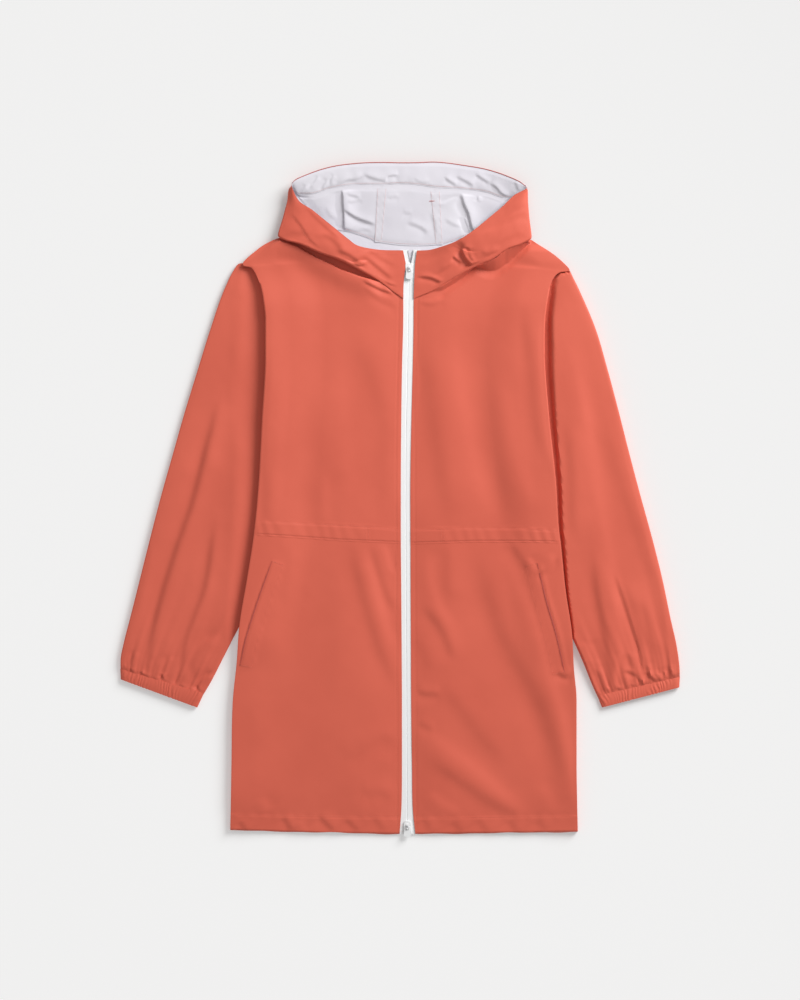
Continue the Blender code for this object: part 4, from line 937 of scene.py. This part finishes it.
hood["insideFolds"] = [
    # folds of the pale inside that shows
    (2.0, 0.9, 14, -87.5, 472, -85, 435, -83.5, 394), (1.4, 1.3, 9, -86, 435, -65, 422, -37, 412),
    (0.6, 1.6, 6, -80, 457, -60, 452), (0.5, 1.6, 6, -78, 444, -68, 446, -58, 450),
    (0.5, 2.2, 7, -20, 452, -2, 453), (0.4, 3, 9, -112, 440, -104, 425, -90, 418),
    (2.3, 1.1, 12, 90, 460, 96, 440, 101, 430, 107.5, 407.5, 112, 396), (1.6, 1.3, 6, 95, 424, 100, 411, 104, 399),
    (0.7, 2, 6, 90, 425, 95, 415, 99, 406), (-0.6, 1.8, 7, 57, 442, 74, 449, 88, 455),
    (-0.6, 1.3, 5, 116, 446, 117, 455), (0.8, 1.5, 7, 117, 456, 127, 457, 140, 453, 156, 446),
    (0.8, 2.2, 8, 10, 415, 30, 408, 42, 399), (0.4, 2.2, 6, 4, 430, 18, 428),
    (0.5, 2.5, 7, 46, 432, 52, 410, 54, 395), (0.5, 2.2, 7, 66, 420, 80, 412, 92, 408),
    (0.4, 2, 6, -70, 400, -55, 405, -42, 402),
]
hood["dense"] = {
    # where the hood's points stand closer: a place on its fold, reach and how much
    "right": [(-97, 464, 14, 2.0), (-45, 336, 24, 1.2)],
    "left": [(116, 459, 18, 1.4), (102, 345, 17, 2.6), (45, 311, 20, 0.8)],
    "centre": [],
}
hood["brimFolds"] = [
    # puckers of the brim facing
    (0.9, 2.0, 9, -94, 470, -80, 477, -65, 479, -55, 486), (0.8, 1.8, 8, -55, 486, -45, 482, -35, 479, -20, 476),
    (0.7, 1.5, 7, -22, 476, -18, 483, -2, 485), (0.8, 1.5, 6, -140, 470, -147, 462, -152, 457),
    (0.7, 1.5, 6, -122, 484, -129, 474, -135, 467), (0.7, 1.6, 6, -108, 479, -115, 468, -117, 461),
    (0.5, 1.6, 6, -98, 486, -103, 478, -104, 470), (0.8, 1.6, 6, 66, 482, 74, 476, 84, 470),
    (0.8, 1.8, 7, 84, 483, 96, 477, 110, 469), (0.8, 1.6, 6, 112, 487, 125, 478, 134, 473),
    (1.1, 1.2, 7, 134, 473, 143, 467, 150, 459, 163, 452), (0.6, 1.5, 6, 171, 475, 177, 461),
    (0.4, 2, 6, 20, 480, 34, 474, 44, 476),
]
hood["flapFolds"] = [
    # folds of the coral flaps in front
    (0.5, 1.6, 8, -163, 428, -150, 412, -134, 388, -120, 376), (0.7, 5, 12, -172, 400, -140, 396, -112, 392),
    (0.6, 3, 10, -140, 436, -112, 408, -90, 388), (0.8, 4, 10, -120, 398, -96, 384, -84, 366),
    (1.0, 2.6, 8, -96, 372, -78, 366, -58, 352), (-0.7, 3, 8, -74, 357, -50, 372, -38, 376),
    (0.9, 3, 8, -54, 364, -36, 350, -12, 330), (1.3, 1.4, 5, -40, 333, -30, 326, -20, 322, -8, 322),
    (1.0, 1.4, 5, -30, 322, -18, 314, -6, 309), (0.5, 4, 8, -50, 376, -30, 362, -8, 350),
    (0.7, 5, 12, 196, 420, 160, 410, 138, 394), (0.6, 2.5, 9, 190, 436, 164, 424, 144, 408, 122, 396),
    (-0.7, 5, 10, 188, 400, 164, 392, 140, 378), (3.6, 1.3, 12, 98, 380, 92, 373, 95, 364, 102, 355, 113, 344),
    (0.7, 1.4, 6, 103, 369, 105, 362, 110, 356), (1.5, 1.8, 6, 78, 364, 86, 358, 92, 354),
    (1.2, 1.2, 5, 92, 377, 98, 377, 105, 372), (-1.2, 1.2, 6, -85, 351, -70, 353, -60, 356, -48, 358),
    (1.0, 1.3, 5, -82, 347, -72, 343, -62, 349, -50, 353), (-0.7, 3, 8, 92, 366, 76, 352, 60, 342),
    (1.7, 1.6, 6, 30, 334, 46, 332, 60, 325, 68, 319), (-0.6, 3, 8, 84, 356, 66, 344, 48, 336),
    (-0.5, 4, 9, 30, 352, 50, 360, 70, 372), (-0.8, 4, 9, 150, 372, 128, 366, 116, 358),
    (0.7, 3, 8, 118, 372, 132, 366, 146, 372),
]


def hoodPoints(lines, v):
    # a point of the hood from its line and how far along it, neck seam 0, round the fold, rim 1
    end, endZ, fold = lines[:, 0:2], lines[:, 2], lines[:, 3:5]
    low, high, rim, rimZ = lines[:, 5], lines[:, 6], lines[:, 7:9], lines[:, 9]
    a = hood["underShare"]
    b = a + hood["foldShare"]
    toEnd = end - fold
    toRim = rim - fold
    rimRun = np.hypot(toRim[:, 0], toRim[:, 1])
    under = fold + toEnd / np.hypot(toEnd[:, 0], toEnd[:, 1])[:, None] * hood["foldRadius"]
    over = fold + toRim / rimRun[:, None] * np.minimum(hood["foldRadius"], 0.3 * rimRun)[:, None]
    first = np.clip(v / a, 0, 1)
    turn = np.clip((v - a) / (b - a), 0, 1)
    last = np.clip((v - b) / (1 - b), 0, 1)
    xy = np.where((v <= a)[:, None], end * (1 - first[:, None]) + under * first[:, None], 0.0)
    middle = under * (1 - turn[:, None]) + over * turn[:, None]
    middle = middle + (fold - (under + over) / 2) * np.sin(math.pi * turn)[:, None]
    xy = np.where(((v > a) & (v <= b))[:, None], middle, xy)
    xy = np.where((v > b)[:, None], over * (1 - last[:, None]) + rim * last[:, None], xy)
    z = np.where(v <= a, endZ + (low - endZ) * first, 0.0)
    z = np.where((v > a) & (v <= b), (low + high) / 2 - (high - low) / 2 * np.cos(math.pi * turn), z)
    flap = smoothStep(6.5, 9.0, high - low + high * 0.2)
    bulge = hood["flapBulge"] * np.sin(math.pi * np.clip(last, 0, 1)) * flap
    z = np.where(v > b, high + (rimZ - high) * last + bulge, z)
    return xy[:, 0], xy[:, 1], z, first, turn, last


def insideRelief(x, y, first):
    relief = bandShape(x, y, hood["insideFolds"]) + 0.5 + 0.3 * ripple(x, y, 34.0, 1.2)
    return np.maximum(relief, -0.6) * smoothStep(0.0, 0.1, first) * (1 - smoothStep(0.93, 1.0, first))


def shapeHood(lines, v):
    x, y, z, first, _, last = hoodPoints(lines, v)
    isUnder = v <= hood["underShare"]
    # flaps are the lines whose fold stands high or lies in front of the neck
    isFlap = smoothStep(12.8, 13.8, lines[:, 6]) + (lines[:, 7] > -70) * (lines[:, 8] < 385) * 1.0
    isFlap = np.clip(isFlap + (lines[:, 8] < 425), 0, 1)
    inside = insideRelief(x, y, first) * (1 - isFlap)
    flaps = bandShape(x, y, hood["flapFolds"]) + 0.22 * ripple(x, y, 30.0, 0.4) + 0.10 * ripple(x, y, 13.0, 2.9)
    flaps = flaps * smoothStep(0.0, 0.10, last) * (1 - 0.6 * smoothStep(0.85, 1.0, last)) * isFlap
    z = z + np.where(isUnder, inside, 0.0) + np.where(v > hood["underShare"] + hood["foldShare"], flaps, 0.0)
    return x, y, z


def besideZip(x, y, side):
    # moves a flap's edge to where it runs beside the zip
    spots, edge, plainX = columns(hood["zipEdges"][side])
    here = np.interp(y, spots, plainX)
    near = bell(x - here, 13.0) * (1 - smoothStep(376, 384, y))
    return x + (curveThrough(spots, edge, np.clip(y, 301, 375)) - here) * near


def makeHoodPiece(name, side, node, across):
    def weight(shares):
        fold = rowsBetween(hood[side], shares)[:, 3:5]
        total = np.ones_like(shares)
        for px, py, reach, more in hood["dense"][side]:
            total += more * np.exp(-(((fold[:, 0] - px) ** 2 + (fold[:, 1] - py) ** 2) / reach ** 2))
        return total

    piece, u, v = addGrid(name, across, hood["linePoints"])
    x, y, z = shapeHood(rowsBetween(hood[side], spreadPoints(u, weight)), v)
    if side in hood["zipEdges"]:
        x = besideZip(x, y, side)
    movePoints(piece, x, y, z)
    editWhole(piece)
    # the pale inside faces up where the hood lies open
    openPart = [face for face in piece.data.polygons if face.center.y > 0.440 and face.center.z < 0.012]
    if sum(face.normal.z for face in openPart) < 0:
        piece.data.flip_normals()
    finishSheet(piece, paleLining, hood["wall"], inner=coralCloth)
    belong(piece, "shell_cloth", node)
    return piece


hoodRight = makeHoodPiece("hoodRight", "right", "hood_side_right", 220)
hoodLeft = makeHoodPiece("hoodLeft", "left", "hood_side_left", 220)
hoodCentre = makeHoodPiece("hoodCentre", "centre", "hood_centre", 50)
print("hood folded open")

# the lines of the whole open hood, and those along which the brim's facing shows
wholeHood = np.array(hood["right"][7::-1] + hood["centre"][1:3] + hood["left"][:8], float)
wholeBrim = wholeHood[2:-2]

brim = {
    "lift": 0.42,               # of the facing above the hood's own cloth
    "wall": 0.3,
    "edgeRadius": 0.55,         # of the coral edging along the rim
    "pucker": 0.30,
    "tapeWidth": [(0.0, 5.6), (0.5, 6.4), (1.0, 7.4)],
    "tapeLift": 0.40,
    "tapeWall": 0.22,
    "points": (320, 26),
    "edgingPoints": (300, 10),
    "tapePoints": (12, 90),
}


def makeFacing():
    piece, u, v = addGrid("brimFacing", *brim["points"])
    start = hood["underShare"] + hood["foldShare"]
    x, y, z, *_ = hoodPoints(rowsBetween(wholeBrim, u), start + (0.985 - start) * v)
    pucker = np.sin(x / 3.3 + 1.6 * np.sin(x / 17.0)) + 0.6 * np.sin(x / 7.1 + y / 9.0)
    z = z + brim["lift"] * smoothStep(-0.9, 0.25, v)
    z = z + brim["pucker"] * (1 + pucker) * bell(v, 0.42) * 0.5 * smoothStep(-0.05, 0.12, v)
    z = z + 0.4 * (1 + ripple(x, y, 32.0, 3.3)) * np.sin(math.pi * v)
    relief = np.maximum(bandShape(x, y, hood["brimFolds"]) + 0.5, -0.1)
    z = z + relief * smoothStep(0.0, 0.15, v) * smoothStep(0.0, 0.15, 1 - v)
    movePoints(piece, x, y - 0.4 + 0.3 * v, z)
    faceUp(piece)
    finishSheet(piece, paleLining, brim["wall"])
    return belong(piece, "hood_inside", "hood_brim_facing")


brimFacing = makeFacing()


def makeEdging():
    # the coral edge of the outer cloth that shows along the rim, a thin tube in a darker coral that paints shade on
    # the rolled edge
    piece, u, v = addGrid("rimEdging", *brim["edgingPoints"])
    x, y, z, *_ = hoodPoints(rowsBetween(wholeBrim, u), np.ones_like(u))
    turn = 2 * math.pi * v
    width = brim["edgeRadius"] * np.minimum(1.0, np.minimum(u, 1 - u) * 60 + 0.15)
    movePoints(piece, x, y + width * 1.15 * np.cos(turn), z + 0.3 + width * np.sin(turn))
    mergeSeam(piece, 0.01)
    editWhole(piece, fillEnds)
    # darker coral: painted shade on the rolled edge
    piece.data.materials.append(darkCoralAndPaintedShade)
    bpy.ops.object.shade_smooth()
    return belong(piece, "shell_cloth")


rimEdging = makeEdging()


def makeSeamTape(name, u0, node):
    # u0 is the seam's place along the whole hood's lines
    piece, u, v = addGrid(name, *brim["tapePoints"])
    lines = rowsBetween(wholeHood, np.full_like(u, u0))
    x, y, z, first, *_ = hoodPoints(lines, v * (hood["underShare"] - 0.002))
    across = 2 * u - 1
    x = x + across * readAt(brim["tapeWidth"], first)
    z = z + insideRelief(x, y, first) + brim["tapeLift"]
    z = z + 0.16 * np.sin(y / 1.9) * bell(np.abs(across) - 0.7, 0.22)
    z = z - 0.16 * smoothStep(0.75, 1.0, np.abs(across))
    movePoints(piece, x, y, z)
    faceUp(piece)
    finishSheet(piece, paleTape, brim["tapeWall"])
    belong(piece, "hood_inside", node)
    return piece


def seamShare(x):
    # share along the whole hood's lines at which the neck seam has this x
    shares = np.linspace(0, 1, 2000)
    return float(shares[np.argmin(np.abs(rowsBetween(wholeHood, shares)[:, 0] - x))])


seamShares = [seamShare(x) for x in hood["seams"]]
tapeRight = makeSeamTape("seamTapeRight", seamShares[0], "hood_seam_tape_right")
tapeLeft = makeSeamTape("seamTapeLeft", seamShares[1], "hood_seam_tape_left")


crown = {
    "inset": 6.0,               # from the hood's fold in to the layers' edge
    "innerShare": 0.33,         # where they end, from the neck seam to the fold
    "innerHeight": 0.46,        # share of their height there
    "middleHeight": 0.73,
    # share of the points up the form, how far the edge lies in, height: two folds one on the other
    "profile": [(0.0, 1.4, 0.0), (0.06, 0.5, 0.15), (0.2, 0.0, 0.8), (0.36, 0.15, 1.7), (0.5, 2.4, 2.3),
                (0.5001, 2.4, 2.5), (0.64, 0.15, 3.1), (0.8, 0.0, 3.9), (0.94, 0.5, 4.6), (1.0, 1.4, 4.8)],
    "points": (260, 18),
}


def makeCrown():
    # the crown's hidden layers: one closed form whose edge shows the folds
    piece, u, v = addGrid("crownLayers", *crown["points"])
    lines = rowsBetween(wholeHood, 0.02 + 0.96 * np.where(u <= 0.5, 2 * u, 2 - 2 * u))
    outerX, outerY, *_ = hoodPoints(lines, np.full_like(u, 0.46))
    baseX, baseY = lines[:, 0], lines[:, 1]
    run = np.hypot(baseX - outerX, baseY - outerY)
    outerX = outerX + (baseX - outerX) / run * crown["inset"]
    outerY = outerY + (baseY - outerY) / run * crown["inset"]
    innerX = baseX + (lines[:, 3] - baseX) * crown["innerShare"]
    innerY = baseY + (lines[:, 4] - baseY) * crown["innerShare"]
    isOuter = (u <= 0.5) | (u > 0.9999)
    x = np.where(isOuter, outerX, innerX)
    y = np.where(isOuter, outerY, innerY)
    middleX, middleY = (outerX + innerX) / 2, (outerY + innerY) / 2
    stops, insets, heights = columns(crown["profile"])
    # the first and last rows of points meet along the middle, which closes the form
    atMiddle = (v < 0.001) | (v > 0.999)
    toward = np.hypot(middleX - x, middleY - y)
    inset = np.where(atMiddle, 1.0, np.interp(v, stops, insets) / np.maximum(toward, 3.0))
    share = np.where(atMiddle, crown["middleHeight"], np.where(isOuter, 1.0, crown["innerHeight"]))
    movePoints(piece, x + (middleX - x) * inset, y + (middleY - y) * inset, np.interp(v, stops, heights) * share)
    mergeSeam(piece, 0.02)
    piece.data.materials.append(coralCloth)
    bpy.ops.object.shade_smooth()
    return belong(piece, "shell_cloth", "hood_crown_layers")


crownLayers = makeCrown()
print("hood's inside fitted")


zipper = {
    # y, middle line, half gap between the two tapes
    "line": [(-500.5, 11.2, 3.6), (-492, 10.9, 1.6), (-483, 10.8, 0.1), (-300, 9.9, 0.1), (15, 8.4, 0.1),
             (105, 9.0, 0.1), (195, 11.0, 0.1), (285, 12.6, 0.1), (346, 14.4, 0.1), (352, 15.2, 0.6),
             (358, 15.8, 1.2), (369, 15.9, 3.2), (375, 15.9, 4.0)],
    "halfWidth": 15.0,
    "middle": 2.45,             # height of the tape's middle
    "wall": 0.7,
    "roll": 0.5,                # how far the turned inner edge rounds down
    "points": (18, 300),
    # a grey disc that paints the shade of the hole in each slider's bridge
    "holeShadeRadius": 1.5,
    "holeShadeHeight": 0.5,
    "holeShadeRound": 0.12,
    "coilPitch": 1.25,
    "coilSpans": [(357.0, 373.5), (-499.0, -487.0)],  # where the tapes part and the coil shows
}


def makeZipTape(name, way, node):
    piece, u, v = addGrid(name, *zipper["points"])
    keys, middles, gaps = columns(zipper["line"])
    y = keys[0] + (keys[-1] - keys[0]) * v
    middle = curveThrough(keys, middles, y)
    gap = curveThrough(keys, gaps, y)
    out = gap + (zipper["halfWidth"] - gap) * u ** 1.3
    fromEdge = out - gap
    z = zipper["middle"] - zipper["roll"] * (1 - roundOver(fromEdge, 0.9))
    z = z + 0.02 * np.sin(y / 2.1) * bell(fromEdge - 3.4, 0.8)
    movePoints(piece, middle + way * out, y, z)
    faceUp(piece)
    finishSheet(piece, zipTapeWeave, zipper["wall"])
    belong(piece, "zip_tape", node)
    return piece


zipTapeRight = makeZipTape("zipTapeRight", -1.0, "zip_tape_right")
zipTapeLeft = makeZipTape("zipTapeLeft", 1.0, "zip_tape_left")

for node in ("slider_top", "slider_bottom", "pull_tab_top", "pull_tab_bottom"):
    for slot in bpy.data.objects[node].material_slots:
        slot.material = whiteEnamel
print("zip laid in")


stitch = {
    "pitch": 3.0,
    # length, width and height: a coral stitch, a pink one, one of the small tack, a turn of the coil
    "size": (2.2, 0.42, 0.34),
    "pinkSize": (2.2, 0.6, 0.3),
    "tackSize": (1.8, 1.2, 0.5),
    "coilSize": (2.0, 0.85, 1.0),
    "lift": 0.3,                # share of its height that its middle stands above the cloth
    "longest": 3.0,             # no stitch spans a gap of more than so many pitches
}


def surfaceTree(*pieces):
    # one search tree over several pieces
    corners, faces = [], []
    for piece in pieces:
        start = len(corners)
        corners.extend(tuple(piece.matrix_world @ vertex.co) for vertex in piece.data.vertices)
        faces.extend(tuple(start + i for i in face.vertices) for face in piece.data.polygons)
    return BVHTree.FromPolygons(corners, faces)


def seek(tree, x, y, height=skyHeight, way=-1.0):
    # the place and normal of the first surface below a spot, or above it where way is 1
    return tree.ray_cast(Vector((x * mm, y * mm, height * mm)), Vector((0, 0, way)))[:2]


def sewRow(store, path, tree, pitch=stitch["pitch"], fromHeight=skyHeight, way=-1.0):
    # places stitches on a surface along a path seen from above, or from below where way is 1
    path = np.asarray(path, float)
    _, done = pathLengths(path)
    count = max(2, int(done[-1] / pitch))
    spots = curveThrough(done, path, np.linspace(0, done[-1], count + 1))
    found = [seek(tree, px, py, -fromHeight * way, way) for px, py in spots]
    for (place, normal), (following, _) in zip(found, found[1:]):
        if place is None or following is None or (following - place).length > stitch["longest"] * pitch * mm:
            continue
        if normal.z * way > 0:
            normal = -normal
        along = (following - place).normalized()
        store.append(((place + following) / 2, along, normal.cross(along).normalized(), normal))


def makeStitches(name, store, material, slot, size=stitch["size"]):
    # one small ball, drawn out along each stitch
    bpy.ops.object.select_all(action="DESELECT")
    bpy.ops.mesh.primitive_uv_sphere_add(segments=6, ring_count=4, radius=0.5)
    single = bpy.context.object
    corners = readPoints(single)[:, [2, 0, 1]]  # its poles point along the stitch
    faces = [tuple(face.vertices) for face in single.data.polygons]
    bpy.data.objects.remove(single)
    points, polygons = [], []
    for place, *axes in store:
        frameOf = np.stack([np.array(axis) * part * mm for axis, part in zip(axes, size)])
        start = len(points)
        lifted = np.array(place) + np.array(axes[2]) * stitch["lift"] * size[2] * mm
        points.extend((lifted + corners @ frameOf).tolist())
        polygons.extend(tuple(start + i for i in face) for face in faces)
    mesh = bpy.data.meshes.new(name)
    mesh.from_pydata(points, [], polygons)
    piece = bpy.data.objects.new(name, mesh)
    bpy.context.scene.collection.objects.link(piece)
    mesh.materials.append(material)
    editWhole(piece)
    bpy.ops.object.shade_smooth()
    return belong(piece, slot)


def shifted(path, sideways):
    # the path moved to its left by a distance
    path = np.asarray(path, float)
    run = np.gradient(path, axis=0)
    run = run / np.hypot(run[:, 0], run[:, 1])[:, None]
    return path + np.stack([-run[:, 1], run[:, 0]], axis=1) * sideways


frontTree = surfaceTree(frontRight, frontLeft)


def makePocketMouthShade(name, path):
    # the edge of the pocket bag that shows in its opening, a narrow strip on the front whose darker coral paints the
    # shade inside the opening
    piece, u, v = addGrid(name, 3, 90)
    path = np.array(path, float)
    runs, done = pathLengths(path)
    done = done / runs.sum()
    spot = curveThrough(done, path, v)
    ahead = curveThrough(done, path, np.minimum(v + 0.01, 1)) - curveThrough(done, path, np.maximum(v - 0.01, 0))
    ahead = ahead / np.hypot(ahead[:, 0], ahead[:, 1])[:, None]
    half = 0.75 * np.sin(math.pi * np.clip(v, 0.01, 0.99)) ** 0.35
    x = spot[:, 0] + ahead[:, 1] * (2 * u - 1) * half
    y = spot[:, 1] - ahead[:, 0] * (2 * u - 1) * half
    stops = np.linspace(0, 1, 46)
    found = [seek(frontTree, px, py)[0].z / mm for px, py in curveThrough(done, path, stops)]
    eased = np.convolve(np.pad(found, 3, mode="edge"), np.ones(7) / 7, mode="valid")
    movePoints(piece, x, y, np.interp(v, stops, eased) + 0.3)
    faceUp(piece)
    # darker coral: painted shade of the pocket's opening
    finishSheet(piece, darkCoralAndPaintedShade, 0.3)
    return belong(piece, "shell_cloth")


mouthShadeRight = makePocketMouthShade("mouthShadeRight", body["pockets"][0][0])
mouthShadeLeft = makePocketMouthShade("mouthShadeLeft", body["pockets"][1][0])

coralRows, pinkRows, tackRows = [], [], []

# along the zip, the hem, the casings and the pockets
zipRuns = [(float(curveThrough(zipY, zipX, np.array([y]))[0]), y) for y in np.linspace(-497, 296, 60)]
for way in (-1, 1):
    sewRow(coralRows, [(x + way * (7.0 + body["zipStitch"]), y) for x, y in zipRuns], frontTree)
sewRow(coralRows, [(-252, -470.5), (-130, -472.5), (-3, -474)], frontTree)
sewRow(coralRows, [(24, -475), (140, -475), (262, -474)], frontTree)
for top, bottom in body["casings"]:
    sewRow(coralRows, shifted(top, -1.9), frontTree)
    sewRow(coralRows, shifted(bottom, 1.9), frontTree)
for x, low, high in ((-47, -61, -41), (-51, -61, -41), (62, -62, -43), (66, -62, -43)):
    sewRow(coralRows, [(x, low), (x, high)], frontTree, pitch=2.0)
for path, weltSide in body["pockets"]:
    edge = shifted(path, body["weltWidth"] * weltSide)
    sewRow(coralRows, edge, frontTree)
    for end, far, away in ((path[0], edge[0], 1.0), (path[-1], edge[-1], -1.0)):
        for row in (0.0, away):
            sewRow(coralRows, [(end[0], end[1] - row), (far[0], far[1] - row)], frontTree, pitch=1.4)

# on the hood's flaps, and on the back's hem
hoodTree = surfaceTree(hoodRight, hoodLeft)
for path in (
    [(-161, 424), (-150, 408), (-134, 384)], [(190, 424), (172, 404), (154, 380)],
    [(-58, 371), (-40, 369), (-2, 368)], [(28, 368), (44, 368.5), (58, 371)],
):
    sewRow(coralRows, path, hoodTree)
sewRow(coralRows, [(-252, -472), (0, -474), (262, -472)], surfaceTree(backPanel), way=1.0)
coralStitches = makeStitches("coralStitches", coralRows, coralThread, "shell_cloth")

# inside the hood: a small tack, the taped seams, the facing and the neck seam
insideTree = surfaceTree(hoodRight, hoodLeft, hoodCentre, tapeRight, tapeLeft)
for x in (43.5, 46.0, 48.5):
    sewRow(tackRows, [(x, 446.6), (x + 3.2, 447.2)], insideTree, pitch=1.6, fromHeight=14.0)
for line in rowsBetween(wholeHood, np.array(seamShares)):
    for way in (-1, 1):
        path = [(line[0] + way * 4.6, line[1] + 4), (line[3] + way * 6.2, line[4] - 3)]
        sewRow(pinkRows, path, insideTree, fromHeight=13.5)
brimLines = rowsBetween(wholeBrim, np.linspace(0.02, 0.98, 60))
startX, startY, *_ = hoodPoints(brimLines, np.full(60, hood["underShare"] + hood["foldShare"] + 0.03))
sewRow(pinkRows, list(zip(startX, startY)), surfaceTree(brimFacing), fromHeight=30)
neckLine = rowsBetween(wholeHood, np.linspace(0.22, 0.78, 50))
sewRow(pinkRows, [(row[0], row[1] + 2.5) for row in neckLine], insideTree, fromHeight=5.5)
pinkStitches = makeStitches("pinkStitches", pinkRows, pinkThread, "hood_inside", stitch["pinkSize"])
bartack = makeStitches("bartack", tackRows, darkCoralAndPaintedShade, "hood_inside", stitch["tackSize"])


def makeHoleShade(name, node, x, y):
    # a grey disc on a slider where the hole for its pull shows dark: painted shade of the hole
    top = seek(surfaceTree(bpy.data.objects[node]), x, y)[0].z
    bpy.ops.object.select_all(action="DESELECT")
    bpy.ops.mesh.primitive_cylinder_add(vertices=20, radius=zipper["holeShadeRadius"] * mm,
                                        depth=zipper["holeShadeHeight"] * mm, location=(x * mm, y * mm, top))
    piece = bpy.context.object
    piece.name = name
    bpy.ops.object.transform_apply(location=True, rotation=True, scale=True)
    rounding = piece.modifiers.new("Rounding", "BEVEL")
    rounding.width = zipper["holeShadeRound"] * mm
    rounding.segments = 2
    bpy.ops.object.modifier_apply(modifier=rounding.name)
    piece.data.materials.append(greyCoilAndHoleShade)
    shadeSmooth(piece)
    return belong(piece, "zip_hardware")


holeShadeTop = makeHoleShade("holeShadeTop", "slider_top", 13.9, 346.0)
holeShadeBottom = makeHoleShade("holeShadeBottom", "slider_bottom", 10.9, -488.6)

coilRows = []
keys, middles, gaps = columns(zipper["line"])
for low, high in zipper["coilSpans"]:
    for way in (-1, 1):
        for y in np.arange(low, high, zipper["coilPitch"]):
            middle, gap = (float(curveThrough(keys, part, np.array([y]))[0]) for part in (middles, gaps))
            spot = Vector(((middle + way * (gap + 0.1)) * mm, y * mm, (zipper["middle"] + 0.35) * mm))
            coilRows.append((spot, Vector((1, 0.25 * way, 0)).normalized(), Vector((0, 1, 0)), Vector((0, 0, 1))))
zipCoil = makeStitches("zipCoil", coilRows, greyCoilAndHoleShade, "zip_hardware", stitch["coilSize"])
print("seams sewn:", len(coralRows), "coral,", len(pinkRows), "pink")
